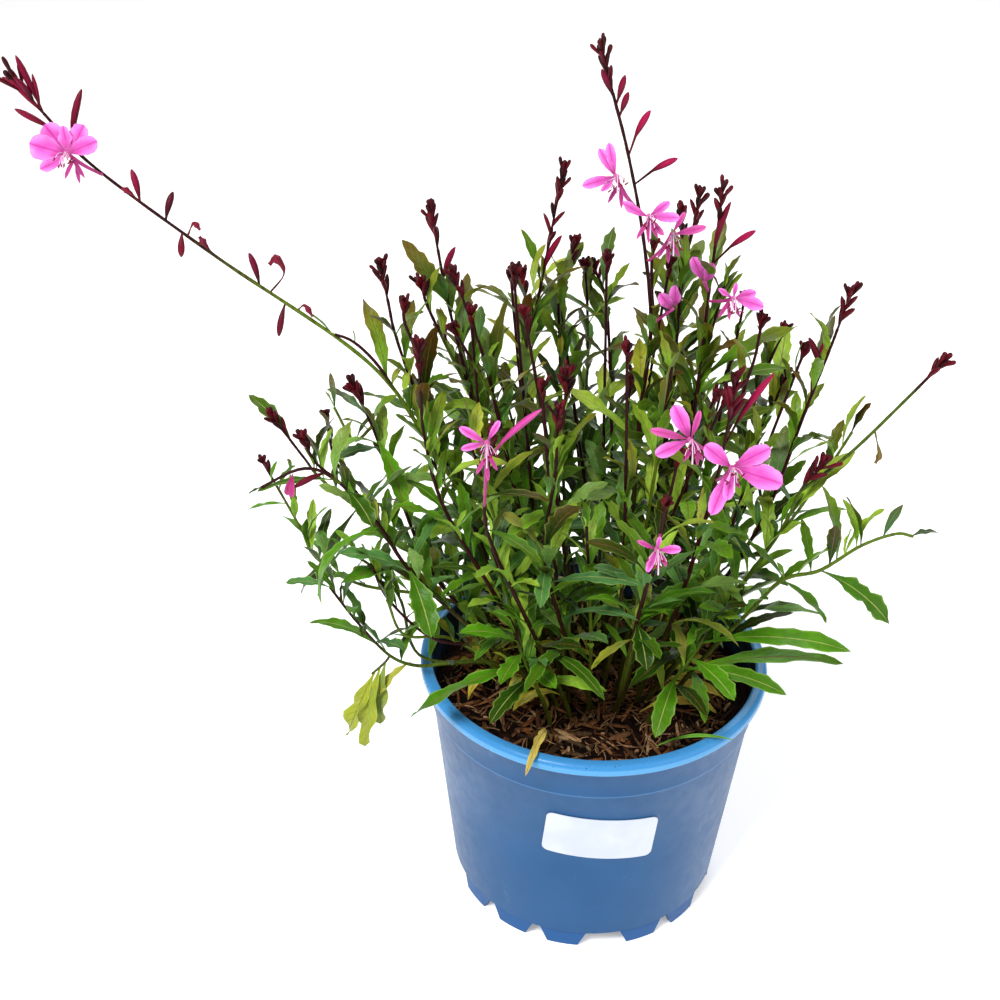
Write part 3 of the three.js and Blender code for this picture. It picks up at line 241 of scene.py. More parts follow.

# Each stem: where it passes, from the soil to its tip. Its leaves run between two places along it, counted
# in path points, and listed leaves give a place along it, a tip and a half width. Buds on it give a place
# along it and a tip, and their stalk's share where it is long. A head or crown is a bud cluster: length,
# count, bud length. A row leaves out what is as in USUAL_STEM, and the seeds follow the order of the rows.
STEM_ROWS = [
    dict(
        name="wand_left", radius=1.5, leaves=5, last=4.2, leaf_length=40,
        path=[[-20, -2, 114], [-40, -1, 170], [-72, -5, 232], [-97, -10, 275], [-153, -18, 323],
            [-194, -20, 358], [-209, -20, 377]],
        buds=[[4.57, [-131, -20, 291]], [4.72, [-141, -14, 323]], [5.24, [-165, -22, 324]],
            [5.36, [-167, -15, 347]], [5.56, [-181, -17, 356]], [6.3, [-195, -17, 385]]],
        head=[12, 4, 12],
    ),
    dict(
        name="wand_top", radius=1.5, leaves=6, last=3.4, leaf_length=42,
        path=[[6, 4, 114], [13, 1, 180], [14, 0, 246], [16, 0, 287], [10, -8, 327],
            [2, -10, 361], [-5, -10, 384]],
        tips=[[3.6, [20, -12, 289], 3.4]],
        buds=[[5.65, [20, -12, 361], 0.45], [6, [9, -10, 378], 0.42]],
        head=[15, 6, 8],
    ),
    dict(
        name="back_spike", leaves=6, last=4,
        path=[[-10, 12, 114], [-28, 18, 190], [-34, 22, 259], [-29, 30, 287], [-26, 30, 306]],
        buds=[[4.6, [-20, 28, 316]]],
        head=[36, 10, 9],
    ),
    dict(
        name="upper_left", leaves=6, last=3.6,
        path=[[-22, 10, 114], [-45, 10, 190], [-57, 6, 254], [-66, 9, 293], [-70, 10, 316]],
        tips=[[4, [-84, 5, 322], 4]],
        buds=[[4.4, [-63, 8, 318]]],
        head=[16, 7, 8],
    ),
    dict(
        name="left_high", leaves=5, last=3.4,
        path=[[-32, 2, 114], [-56, 0, 195], [-76, -2, 249], [-86, -7, 284], [-89, -10, 303]],
        tips=[[3, [-70, -15, 294], 4.2]],
        head=[14, 6, 8],
    ),
    dict(
        name="inner_left", leaves=5, last=3.2,
        path=[[-14, -10, 114], [-32, -9, 190], [-47, -6, 258], [-53, -9, 284], [-59, -10, 302]],
        tips=[[3, [-43, 2, 299], 4], [3, [-28, -36, 266], 5]],
        head=[12, 6, 7],
    ),
    dict(
        name="front_left_high", leaves=5, last=4,
        path=[[-18, -24, 114], [-42, -31, 170], [-66, -36, 222], [-74, -36, 256], [-75, -39, 282]],
        head=[14, 6, 8],
    ),
    dict(
        name="front_left_bloom", leaves=4, last=3.4, leaf_length=36,
        path=[[-12, -31, 114], [-30, -46, 170], [-45, -54, 212], [-50, -58, 236], [-47, -55, 268]],
        tips=[[3.6, [-28, -74, 222], 4], [4.2, [-25, -66, 245], 3.8]],
        buds=[[4.7, [-29, -56, 279], 0.25]],
        crown=[8, 4, 6],
    ),
    dict(
        name="back_left", radius=1.3, leaves=6, last=3.8,
        path=[[-2, 24, 114], [-20, 42, 200], [-32, 56, 258], [-34, 59, 274]],
        head=[11, 5, 7],
    ),
    dict(
        name="back_middle", radius=1.3, leaves=6, last=3.8,
        path=[[8, 18, 114], [-6, 36, 200], [-18, 49, 275], [-15, 50, 293]],
        tips=[[3.4, [-1, 50, 311], 3.6]],
        head=[11, 5, 7],
    ),
    dict(
        name="back_small", radius=1.3, leaves=6, last=3.8, leaf_length=36,
        path=[[12, 30, 114], [8, 48, 200], [3, 60, 268], [-3, 69, 286]],
        crown=[8, 4, 7],
    ),
    dict(
        name="right_inner", leaves=6, last=3.8,
        path=[[16, 12, 114], [25, 16, 190], [29, 17, 255], [29, 20, 300], [28, 20, 316]],
        tips=[[3.2, [53, 14, 289], 4.2]],
        head=[13, 6, 7],
    ),
    dict(
        name="right_back", leaves=6, last=3.8, leaf_length=36,
        path=[[22, 24, 114], [30, 34, 200], [32, 40, 275], [33, 40, 297], [35, 40, 314]],
        head=[14, 6, 8],
    ),
    dict(
        name="right_high", leaves=5, last=3.2, leaf_length=40,
        path=[[25, 2, 114], [35, 1, 190], [37, 0, 258], [38, 0, 300], [39, 0, 329]],
        tips=[[3.1, [76, 10, 284], 4.6], [3, [73, -3, 272], 4.4], [3.2, [49, -14, 288], 4]],
        buds=[[4.5, [53, -5, 331], 0.45], [4.6, [43, -1, 341]]],
        head=[15, 6, 8],
    ),
    dict(
        name="front_right_bloom", radius=1.6, leaves=5, last=3.6, leaf_length=40,
        path=[[20, -20, 114], [31, -37, 175], [37, -49, 226], [40, -54, 256], [41, -55, 272]],
        buds=[[4.4, [57, -50, 292], 0.3]],
        head=[18, 9, 11],
    ),
    dict(
        name="right_low", radius=1.3, leaves=6, last=3.8, leaf_length=40,
        path=[[34, 12, 114], [52, 23, 170], [72, 34, 222], [82, 39, 247]],
        crown=[10, 5, 8],
    ),
    dict(
        name="right_outer", leaves=5, last=4, leaf_length=40,
        path=[[34, -1, 114], [50, -7, 158], [69, -11, 206], [79, -15, 258], [84, -19, 286], [86, -20, 297]],
        buds=[[4.2, [83, -15, 290]], [4.6, [76, -17, 292]]],
        head=[14, 6, 9],
    ),
    dict(
        name="right_fork", radius=1.5, leaves=5, last=3.4, leaf_length=42,
        path=[[29, -12, 114], [50, -26, 162], [70, -37, 214], [75, -41, 236], [81, -44, 249]],
        crown=[13, 7, 10],
        branch=dict(first=4, points=[[92, -42, 254], [111, -42, 279], [121, -42, 293]], crown=[9, 4, 8]),
    ),
    dict(
        name="right_branch", radius=1.3, leaves=4, last=3.2,
        path=[[34, -22, 114], [47, -32, 148], [60, -41, 176], [71, -49, 199], [84, -55, 208], [97, -60, 223],
            [109, -62, 230], [116, -62, 229]],
        tips=[[6, [87, -62, 247], 3.6], [5.4, [81, -49, 244], 4.2], [5, [112, -66, 190], 5.6],
            [4, [88, -62, 187], 4.2], [7.9, [129, -60, 227], 2.6], [6.6, [112, -56, 240], 2.4]],
    ),
    dict(
        name="left_mid", leaves=4, last=3.4,
        path=[[-29, -9, 114], [-50, -11, 142], [-73, -13, 176], [-85, -13, 210],
            [-97, -11, 247], [-104, -10, 264]],
        tips=[[3.1, [-111, -34, 184], 4.8], [4.8, [-82, -36, 221], 4.6], [4.7, [-110, -22, 238], 4],
            [5.2, [-116, -3, 260], 3]],
        crown=[11, 6, 9],
    ),
    dict(
        name="left_outer", radius=1.3, leaves=4, first=1.8, last=3.4, leaf_length=40,
        path=[[-34, 12, 114], [-56, 8, 146], [-90, 3, 184], [-119, 0, 213], [-128, 0, 226], [-139, 0, 244]],
        tips=[[5.4, [-154, 6, 254], 3.6], [3.5, [-124, -10, 160], 5], [4.4, [-112, -8, 250], 3.4]],
        crown=[9, 5, 8],
    ),
    dict(
        name="left_front", radius=1.3, leaves=3, first=1.8, last=3.2, leaf_length=36,
        path=[[-24, -18, 114], [-48, -23, 145], [-80, -27, 184], [-95, -29, 212],
            [-109, -30, 231], [-118, -30, 240], [-123, -30, 251]],
        tips=[[4.8, [-95, -44, 219], 4.6], [3, [-110, -38, 202], 4.6], [3.1, [-72, -48, 167], 6],
            [5.1, [-142, -36, 230], 2.6]],
        buds=[[5.5, [-127, -36, 232]]],
        crown=[7, 4, 7],
    ),
    dict(
        name="left_low", radius=1.2, leaves=4, first=2, last=4.6, leaf_length=32,
        path=[[-40, 18, 114], [-66, 21, 137], [-108, 18, 148], [-128, 16, 164],
            [-135, 18, 180], [-149, 20, 211]],
        tips=[[5.4, [-158, 14, 190], 2.6], [5.6, [-134, 14, 214], 2.8]],
        crown=[6, 3, 6],
    ),
    dict(
        name="left_trailing", leaves=2, first=5.2, last=6.2, leaf_length=30,
        path=[[-38, -15, 114], [-46, -17, 130], [-67, -20, 132], [-80, -22, 132],
            [-92, -24, 139], [-105, -24, 156], [-117, -22, 174]],
        tips=[[5.5, [-84, -36, 151], 3.8], [6.8, [-128, -24, 200], 3.6], [7, [-136, -22, 176], 3.4]],
    ),
    dict(
        name="front_middle", radius=1.3, leaves=4, last=3, leaf_length=36,
        path=[[-2, -25, 114], [-17, -41, 168], [-26, -51, 212], [-23, -55, 250], [-23, -55, 276]],
        tips=[[3, [-14, -74, 248], 4.8], [2.8, [-28, -78, 204], 3.6], [2.6, [13, -63, 205], 4.4],
            [4, [-8, -52, 276], 4]],
        crown=[9, 5, 7],
    ),
    dict(
        name="front_bloom", radius=1.3, leaves=4, last=3.6, leaf_length=36,
        path=[[10, -28, 114], [13, -51, 178], [16, -68, 222], [17, -75, 242], [17, -78, 252]],
        tips=[[2, [16, -72, 170], 4.8]],
        crown=[7, 4, 6],
    ),
    dict(
        name="shoot_front_left", radius=1.3, leaves=3, first=2, last=4, leaf_length=34,
        path=[[-21, -36, 114], [-28, -44, 140], [-34, -49, 160], [-38, -51, 176]],
        tips=[[2.6, [-81, -63, 136], 5.4], [2.2, [-47, -74, 143], 4.8], [3, [-43, -70, 160], 4.2],
            [2.4, [-20, -67, 156], 4.4], [3.4, [-60, -62, 180], 4.8]],
    ),
    dict(
        name="shoot_front_right", leaves=3, first=2, last=4, leaf_length=36,
        path=[[24, -35, 114], [31, -41, 138], [40, -43, 158], [48, -42, 180]],
        tips=[[2.2, [22, -70, 133], 5.2], [2.8, [54, -66, 150], 5.6], [2.5, [79, -52, 142], 5],
            [3.2, [105, -46, 161], 5.8], [2.9, [106, -54, 145], 5.6]],
    ),
    dict(
        name="shoot_back_left", radius=1.3, leaves=7, first=1.8, last=4, leaf_length=42,
        path=[[-22, 28, 114], [-38, 46, 160], [-50, 60, 205], [-56, 66, 236]],
    ),
    dict(
        name="shoot_back", radius=1.3, leaves=7, first=1.8, last=4, leaf_length=42,
        path=[[0, 40, 114], [-1, 62, 160], [-5, 78, 205], [-8, 86, 238]],
    ),
    dict(
        name="shoot_back_right", radius=1.3, leaves=7, first=1.8, last=4, leaf_length=42,
        path=[[26, 34, 114], [42, 48, 160], [54, 60, 205], [60, 66, 238]],
    ),
]
USUAL_STEM = dict(radius=1.4, first=1.6, leaf_length=38, tips=[], buds=[])
FIRST_SEED = 11
STEMS = [dict(USUAL_STEM, seed=FIRST_SEED + number, **row) for number, row in enumerate(STEM_ROWS)]

# Each bloom: how wide its petals are to their length, the stem and place along it that carries it, its
# centre, and each petal's angle as seen from the front, anticlockwise from the right, with its length, and
# with its own width share where it differs.
BLOOMS = [
    dict(
        name="wand_left", wide=0.36, stem="wand_left", at=5.9, centre=[-200, -27, 364],
        petals=[[165, 14], [128, 13], [98, 10, 0.3], [60, 12], [22, 12, 0.3], [212, 11, 0.22]],
    ),
    dict(
        name="top_left", wide=0.17, stem="wand_top", at=5.4, centre=[-3, -20, 356],
        petals=[[122, 12], [103, 12], [198, 13], [226, 8]],
    ),
    dict(
        name="top_right", wide=0.2, stem="wand_top", at=5.15, centre=[9, -28, 344],
        petals=[[155, 11], [35, 9], [-5, 11], [-55, 9, 0.14]],
    ),
    dict(
        name="top_low", wide=0.13, stem="wand_top", at=4.8, centre=[19, -19, 334],
        petals=[[12, 13], [60, 9]],
    ),
    dict(
        name="upper_right", wide=0.24, stem="right_high", at=4, centre=[46, -10, 305],
        petals=[[150, 7, 0.18], [15, 9], [-18, 12], [80, 6, 0.18]],
    ),
    dict(
        name="front_left", wide=0.15, stem="front_left_bloom", at=4.1, centre=[-49, -67, 270],
        petals=[[150, 12], [60, 9], [195, 10]],
    ),
    dict(
        name="front_inner", wide=0.24, stem="front_right_bloom", at=4.2, centre=[25, -71, 275],
        petals=[[117, 14], [168, 15, 0.12], [205, 14, 0.2], [75, 11, 0.12]],
    ),
    dict(
        name="front_right", wide=0.3, stem="front_right_bloom", at=3.7, centre=[40, -77, 267],
        petals=[[142, 13, 0.28], [28, 15, 0.25], [-18, 19, 0.27], [-115, 19, 0.17], [-100, 12, 0.2]],
    ),
    dict(
        name="front_low", wide=0.2, stem="front_bloom", at=3.6, centre=[14, -86, 237],
        petals=[[155, 8, 0.13], [3, 9], [245, 9, 0.16], [80, 5]],
    ),
]

# Thin side shoots: the stem that carries each, the place along it, where it passes, how many small leaves
# it has and the length of them, and the bud cluster at its tip, if any.
SIDE_SHOOTS = [
    ("left_high", 3, [[-78, -14, 281], [-82, -18, 297], [-82, -18, 304]], 3, 16, (5, 5, 6)),
    ("upper_left", 3, [[-67, 3, 278], [-74, 0, 296], [-76, 0, 304]], 4, 22, (6, 5, 8)),
    ("inner_left", 3, [[-57, -14, 281], [-63, -16, 293]], 3, 18, (5, 5, 6)),
    ("front_middle", 4, [[-20, -40, 264], [-19, -38, 284]], 3, 20, (9, 8, 8)),
    ("right_inner", 3, [[18, 5, 289], [15, 3, 311], [15, 3, 320]], 5, 22, (4, 3, 7)),
    ("back_left", 3, [[-35, 44, 262], [-35, 30, 270], [-36, 30, 280]], 4, 22, (4, 4, 6)),
    ("front_right_bloom", 4, [[35, -45, 268], [37, -45, 280]], 2, 16, (5, 4, 6)),
    ("left_front", 5, [[-117, -32, 238], [-126, -34, 239], [-140, -36, 232]], 4, 11, None),
    ("wand_left", 3.7, [[-93, -12, 274.5], [-99, -13, 282.5], [-104.5, -13, 287], [-110, -13, 289]], 1, 8,
     None),
    ("left_mid", 5, [[-105, -10, 240], [-112, -12, 256]], 4, 17, None),
    ("left_trailing", 2, [[-79, -16, 133], [-87, -20, 167], [-97, -24, 185], [-107, -26, 195]], 8, 20, None),
    ("left_front", 2, [[-72, -26, 150], [-91, -26, 170], [-98, -30, 192]], 7, 22, None),
    ("left_trailing", 1.4, [[-64, -22, 147], [-85, -26, 152], [-92, -28, 172]], 6, 20, None),
    ("left_outer", 3, [[-100, 12, 190], [-116, 16, 214], [-120, 18, 236]], 6, 22, (5, 4, 6)),
    ("right_outer", 3, [[66, -6, 226], [76, 2, 262], [80, 4, 276]], 6, 26, (5, 5, 7)),
    ("right_low", 3, [[66, 26, 236], [70, 22, 262], [74, 20, 278]], 6, 26, (5, 5, 7)),
    ("right_high", 3, [[48, -6, 240], [56, -12, 276], [58, -12, 296]], 6, 26, (5, 5, 7)),
    ("right_fork", 3, [[76, -28, 214], [90, -22, 236], [98, -20, 252]], 6, 26, None),
    ("shoot_back", 3, [[-4, 70, 236], [-6, 64, 272], [-8, 60, 290]], 8, 26, (5, 5, 7)),
    ("shoot_back_left", 3, [[-54, 52, 220], [-64, 42, 250], [-70, 40, 268]], 8, 26, (5, 5, 7)),
    ("shoot_back_right", 3, [[52, 52, 220], [58, 44, 256], [60, 40, 284]], 8, 26, (5, 5, 7)),
]

# Petals of flowers half hidden behind the right-hand heads, and two that hang from the left-hand branch:
# foot, tip, half width and how deep their pink is.
LOOSE_PETALS = [
    ([35, -1, 309], [30, -2, 319], 2.6, 0.15),
    ([36, -1, 308], [38, -3, 317], 2.4, 0.15),
    ([24, 0, 296], [18, -3, 304], 2.5, 0.15),
    ([25, 0, 297], [24, -4, 308], 2.5, 0.15),
    ([-127, -35, 238], [-130, -36, 228.5], 1.6, 1.2),
    ([-127, -35, 238], [-128, -37, 228], 1.3, 1.2),
]

# The tubes that carry the half-hidden flowers: the stem, the place along it and where the petals start.
HIDDEN_TUBES = [
    ("right_high", 4.1, [35.5, -1, 308.5]),
    ("wand_top", 4.05, [24.5, 0, 296.5]),
]

# Withered flowers along two stems: the stem, the place along it, where each passes, its thickness, and how
# brown it is.
WITHERED_FLOWERS = [
    ("wand_left", 5.0, [[-155.8, -19.5, 327.6], [-158, -19.5, 331.2]], 1.0, 0.03),
    ("wand_left", 5.2, [[-159.5, -20, 336.6], [-157.2, -20.5, 334.2]], 0.7, 0.03),
    ("wand_left", 5.56, [[-181.5, -20.5, 348.2], [-184.5, -20.5, 350]], 0.8, 0.03),
    ("wand_left", 4.66, [[-128.4, -16, 314], [-128, -16, 318], [-130.6, -16, 321.4], [-133, -17, 319.4]], 1.3,
     0.03),
    ("wand_left", 4.5, [[-121, -14, 301.6], [-118.2, -14, 297]], 0.7, 0.03),
    ("branch", 1.42, [[102.2, -42.4, 258.6], [103.6, -42.6, 254], [102.4, -43, 250.6]], 0.8, 0.55),
]

# Slim buds, listed one by one, on a stem whose solid has fewer: the stem, the place along it and the tip.
LONG_BUDS = [
    ("wand_left", 6.6, [-219, -20.5, 378.6]),
    ("wand_left", 6.9, [-219.6, -20, 390]),
    ("wand_left", 7.0, [-216, -19, 397]),
    ("wand_top", 6.9, [-9.6, -12, 393]),
    ("wand_top", 6.8, [-1.1, -12, 391]),
    ("wand_top", 6.6, [0.4, -12, 385]),
]

# Leaves listed one by one on stems whose solids lack them: the stem, the place along it, the tip, half width
# and arch.
FINE_LEAVES = [
    ("wand_left", 4.28, [-119.5, -14.4, 298.5], 1.1, 0.05),
    ("left_mid", 4.75, [-109.4, -15, 231.3], 2.5, 0.42),
    ("left_front", 4.1, [-117.3, -34, 232.3], 3.0, 0.05),
    ("left_front", 3.9, [-118.4, -38, 175.5], 3.4, 0.24),
    ("left_low", 3.8, [-135.2, 10, 147.9], 2.4, 0.1),
]

# The withered leaves: the stem and the place along it that carry their stalk, the stalk's last two points,
# and their tips. The pale leaf, the dry leaf and the grass blade are each given by foot and tip.
WITHERED_PARENT = ("left_trailing", 5.0)
WITHERED_STALK = [[-92.3, -25.7, 138.5], [-100, -27, 131]]
WITHERED_TIPS = [[-112, -29, 97], [-104, -33, 94], [-97, -29, 104]]
PALE_LEAF = [[-83, -22, 134], [-97, -31, 121]]
DRY_LEAF = [[-20, -46, 109.8], [-32.2, -83.5, 122.8]]
GRASS_BLADE = [[26, -52, 113.0], [56, -65, 128.0]]


def unit(v):
    return v / np.linalg.norm(v)


def blend(a, b, share):
    return a + (b - a) * share


def eased(value, low, high):
    """0 below low, 1 above high, and smooth between."""
    t = np.clip((value - low) / (high - low), 0, 1)
    return t * t * (3 - 2 * t)


def draws(seed):
    """Repeatable draws between 0 and 1, the same as those that placed the solids."""
    state = seed * 7919
    while True:
        state = (state * 1664525 + 1013904223) % 4294967296
        yield state / 4294967296


class Curve:
    """A smooth curve through points. A place counts points: 2.5 is midway from the third to the fourth."""

    def __init__(self, points):
        self.points = np.array(points, float)
        self.spans = len(points) - 1

    def point(self, place):
        place = min(max(place, 0.0), float(self.spans))
        k = min(int(place), self.spans - 1)
        w = place - k
        p = self.points
        b, c = p[k], p[k + 1]
        a = p[k - 1] if k > 0 else 2 * p[0] - p[1]
        d = p[k + 2] if k + 2 <= self.spans else 2 * p[-1] - p[-2]
        start, end = (c - a) / 2, (d - b) / 2
        return b + start * w + (3 * (c - b) - 2 * start - end) * w ** 2 + (2 * (b - c) + start + end) * w ** 3

    def line(self, count):
        """Points from end to end in equal steps of place."""
        return [self.point(place) for place in np.linspace(0, self.spans, count)]

    def direction(self, place):
        place = min(max(place, 0.0), float(self.spans))
        step = 0.0001 * self.spans
        return unit(self.point(place + step) - self.point(place - step))

    def speed(self, place):
        """Millimetres along the curve for each unit of place."""
        before, after = max(place - 0.05, 0), min(place + 0.05, self.spans)
        return np.linalg.norm(self.point(after) - self.point(before)) / (after - before)


def link(name, data):
    """A new object in the scene."""
    thing = bpy.data.objects.new(name, data)
    bpy.context.scene.collection.objects.link(thing)
    return thing


class Shape:
    """A mesh in the making. Each vertex also has its place on its own leaf or stem, and a tint."""

    def __init__(self):
        self.points, self.grain, self.tint, self.faces, self.slots = [], [], [], [], []
        self.count = 0

    def add(self, points, faces, grain, tint, slot=0):
        points = np.asarray(points, float)
        self.points.append(points)
        self.grain.append(np.broadcast_to(grain, points.shape))
        self.tint.append(np.broadcast_to(tint, points.shape))
        self.faces.extend([tuple(k + self.count for k in face) for face in faces])
        self.slots.extend([slot] * len(faces))
        self.count += len(points)

    def build(self, name, materials, slot, *nodes, edge_angle=EDGE_ANGLE):
        """The piece, in metres in the part's frame, riding on the part in place of the named solids."""
        mesh = bpy.data.meshes.new(name)
        points = (np.concatenate(self.points) * MM + POT_AXIS).tolist()
        mesh.from_pydata(points, [], self.faces)
        mesh.polygons.foreach_set("material_index", self.slots)
        mesh.polygons.foreach_set("use_smooth", [True] * len(self.faces))
        for kind, values in (("grain", self.grain), ("tint", self.tint)):
            layer = mesh.attributes.new(kind, "FLOAT_VECTOR", "POINT")
            layer.data.foreach_set("vector", np.concatenate(values).astype(np.float32).ravel())
        for material in materials:
            mesh.materials.append(material)
        work = bmesh.new()
        work.from_mesh(mesh)
        bmesh.ops.recalc_face_normals(work, faces=work.faces)
        work.to_mesh(mesh)
        work.free()
        mesh.set_sharp_from_angle(angle=math.radians(edge_angle))
        piece = link(name, mesh)
        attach(piece, "root")
        if nodes:
            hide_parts(*nodes)


def lofted(rings, sides, closed_ends=(True, True)):
    """Faces over rings of equally many vertices, numbered in order."""
    faces = []
    for i in range(rings - 1):
        for k in range(sides):
            after = (k + 1) % sides
            faces.append((i * sides + k, i * sides + after, (i + 1) * sides + after, (i + 1) * sides + k))
    if closed_ends[0]:
        faces.append(tuple(range(sides - 1, -1, -1)))
    if closed_ends[1]:
        faces.append(tuple((rings - 1) * sides + k for k in range(sides)))
    return faces


def add_tube(shape, line, radii, sides, tint, slot):
    """A tube along a row of points, with a radius at each."""
    line = np.array(line)
    ahead = np.gradient(line, axis=0)
    across = np.array([0.0, -1.0, 0.0])
    points, grain = [], []
    for i, centre in enumerate(line):
        along = unit(ahead[i])
        if abs(along @ across) > 0.98:
            across = np.array([1.0, 0.0, 0.0])
        side = unit(np.cross(across, along))
        across = np.cross(along, side)
        for k in range(sides):
            angle = 2 * math.pi * k / sides
            points.append(centre + radii[i] * (side * math.cos(angle) + across * math.sin(angle)))
            grain.append((i / (len(line) - 1), k / sides, tint[2]))
    shape.add(points, lofted(len(line), sides), np.array(grain), tint, slot)


# Along a spindle and along a short blunt bud: share of its length, then share of its radius.
SPINDLE = [(0, 0.4), (0.12, 0.6), (0.3, 0.86), (0.5, 1), (0.7, 0.97), (0.86, 0.72), (0.95, 0.42), (1, 0.14)]
BLUNT = [(0, 0.34), (0.2, 0.5), (0.42, 0.68), (0.62, 0.88), (0.8, 1), (0.92, 0.8), (0.98, 0.48), (1, 0.2)]


def add_spindle(shape, foot, tip, radius, tint, slot, stalk=0.0, bend=0.0, sides=7, outline=None):
    """A bud: a slim spindle, on a short thin stalk where it has one."""
    reach = tip - foot
    length = np.linalg.norm(reach)
    sag = unit(np.cross(np.cross(reach, UP) + np.array([1e-6, 0, 0]), reach)) * bend * length
    line, radii = [], []
    if stalk:
        line.append(foot)
        radii.append(0.35)
    for share, width in outline or SPINDLE:
        at = stalk + (1 - stalk) * share
        line.append(foot + reach * at + sag * at * (1 - at) * 4)
        radii.append(max(radius * width, 0.12))
    add_tube(shape, line, radii, sides, tint, slot)


# Along a leaf: share of its length, then share of its half width.
LEAF_OUTLINE = [(0, 0.11), (0.08, 0.14), (0.2, 0.4), (0.34, 0.74), (0.5, 0.95), (0.64, 1), (0.78, 0.86),
                (0.9, 0.54), (0.97, 0.25), (1, 0)]
PETAL_OUTLINE = [(0, 0.14), (0.1, 0.18), (0.24, 0.46), (0.4, 0.78), (0.56, 0.97), (0.7, 1), (0.84, 0.87),
                 (0.94, 0.58), (1, 0.2)]
NARROW_OUTLINE = [(0, 0.3), (0.25, 0.75), (0.5, 1), (0.75, 0.8), (0.92, 0.35), (1, 0)]
# Around a blade's section: share of its half width, and which face each corner is on.
ACROSS = np.array([-1, -0.55, 0, 0.55, 1, 0.55, 0, -0.55])
FACING_UP = np.array([0, 1, 1, 1, 0, -1, -1, -1])
TOOTH = np.array([-0.7, 0.15, 1])
BLADE_SIDES = len(ACROSS)


def add_blade(shape, foot, tip, half_width, arch, tint, slot, lift=UP, fold=0.25, outline=None, steps=15,
              teeth=0.15, wave=0.12, thickness=0.45, twist=0.0, phase=0.0):
    """A thin closed blade: arched towards lift, folded along its midrib, toothed and waved at its edges."""
    table = np.array(outline or LEAF_OUTLINE)
    chord = tip - foot
    length = np.linalg.norm(chord)
    side = unit(np.cross(chord, lift))
    rise = np.cross(side, chord / length)
    middle = foot + chord * 0.5 + rise * (arch * length * 2)
    u = np.linspace(0, 1, steps + 1)[:-1]
    centre = np.outer((1 - u) ** 2, foot) + np.outer(2 * u * (1 - u), middle) + np.outer(u ** 2, tip)
    ahead = np.outer(2 * (1 - u), middle - foot) + np.outer(2 * u, tip - middle)
    normal = np.cross(np.broadcast_to(side, ahead.shape), ahead)
    normal /= np.linalg.norm(normal, axis=1)[:, None]
    if twist:
        turned = side * np.cos(twist * u)[:, None] + normal * np.sin(twist * u)[:, None]
        normal = normal * np.cos(twist * u)[:, None] - side * np.sin(twist * u)[:, None]
    else:
        turned = np.broadcast_to(side, ahead.shape)
    width = half_width * np.interp(u, table[:, 0], table[:, 1])
    if steps > 8:
        # A tooth every third step: it grows outwards towards the tip and then drops back.
        step = np.arange(steps)
        reach = eased(u, 0.15, 0.4) * (1 - eased(u, 0.82, 0.98))
        left = width * (1 + teeth * reach * TOOTH[(step + int(phase * 7)) % 3])
        right = width * (1 + teeth * reach * TOOTH[(step + int(phase * 13) + 1) % 3])
    else:
        left = right = width
    width_at = np.where(ACROSS[None, :] < 0, left[:, None], right[:, None])
    waves = 2.4 * u[:, None] + phase + 0.23 * np.sign(ACROSS)[None, :]
    ripple = wave * half_width * np.sin(2 * math.pi * waves) * ACROSS[None, :] ** 2
    ripple = ripple * eased(u, 0.1, 0.4)[:, None]
    body = thickness / 2 * FACING_UP * np.where(ACROSS == 0, 1.3, 0.8)
    up = fold * width_at * np.abs(ACROSS) ** 1.3 + ripple + body[None, :] * eased(1 - u, 0.0, 0.25)[:, None]
    points = centre[:, None, :] + turned[:, None, :] * (ACROSS * width_at)[:, :, None]
    points = points + normal[:, None, :] * up[:, :, None]
    points = points.reshape(-1, 3)
    end = steps * BLADE_SIDES
    grain = np.stack([np.repeat(u, BLADE_SIDES), np.tile(ACROSS, steps), np.full(end, phase)], 1)
    faces = lofted(steps, BLADE_SIDES, (True, False))
    points = np.vstack([points, tip])
    grain = np.vstack([grain, (1, 0, phase)])
    last = end - BLADE_SIDES
    faces += [(last + k, last + (k + 1) % BLADE_SIDES, end) for k in range(BLADE_SIDES)]
    shape.add(points, faces, grain, tint, slot)


def tilted_from(axis, tilt, around):
    """A direction tilted from an axis, at an angle around it."""
    helper = np.array([1.0, 0, 0]) if abs(axis[2]) > 0.9 else UP
    side = unit(np.cross(axis, helper))
    across = np.cross(side, axis)
    return axis * math.cos(tilt) + (side * math.cos(around) + across * math.sin(around)) * math.sin(tilt)


def on_cylinder(radius, angle, height):
    return np.array([radius * math.cos(angle), radius * math.sin(angle), height])


def from_front(azimuth):
    """Degrees from the front of the pot, positive to the right, as an angle about Z."""
    return math.radians(azimuth - 90)


def wall_radius(height):
    share = (height - WALL_FOOT_HEIGHT) / (SHOULDER_HEIGHT - WALL_FOOT_HEIGHT)
    return blend(WALL_FOOT_RADIUS, SHOULDER_RADIUS, share)


def stem_curve(stem):
    """A stem starts straight above its foot, which stands in the soil."""
    x, y, _ = stem["path"][0]
    return Curve([[x, y, STEM_FOOT_HEIGHT]] + stem["path"])


def cluster_buds(curve, cluster, seed):
    """Buds around the last stretch of a curve: place, tip and radius. Long ones are held out below."""
    length, count, bud_length = cluster
    draw = draws(seed)
    end = curve.spans
    buds = []
    for i in range(count):
        share = (i + 0.5) / count
        place = end - length * (1 - share) / curve.speed(end)
        tilt = math.radians(blend(36, 12, share))
        around = GOLDEN_TURN * i + next(draw)
        reach = bud_length * (1.1 - 0.4 * share) * (0.9 + 0.2 * next(draw))
        direction = tilted_from(curve.direction(place), tilt, around)
        buds.append((place, curve.point(place) + direction * reach, 0.95 + 0.35 * next(draw)))
    return buds


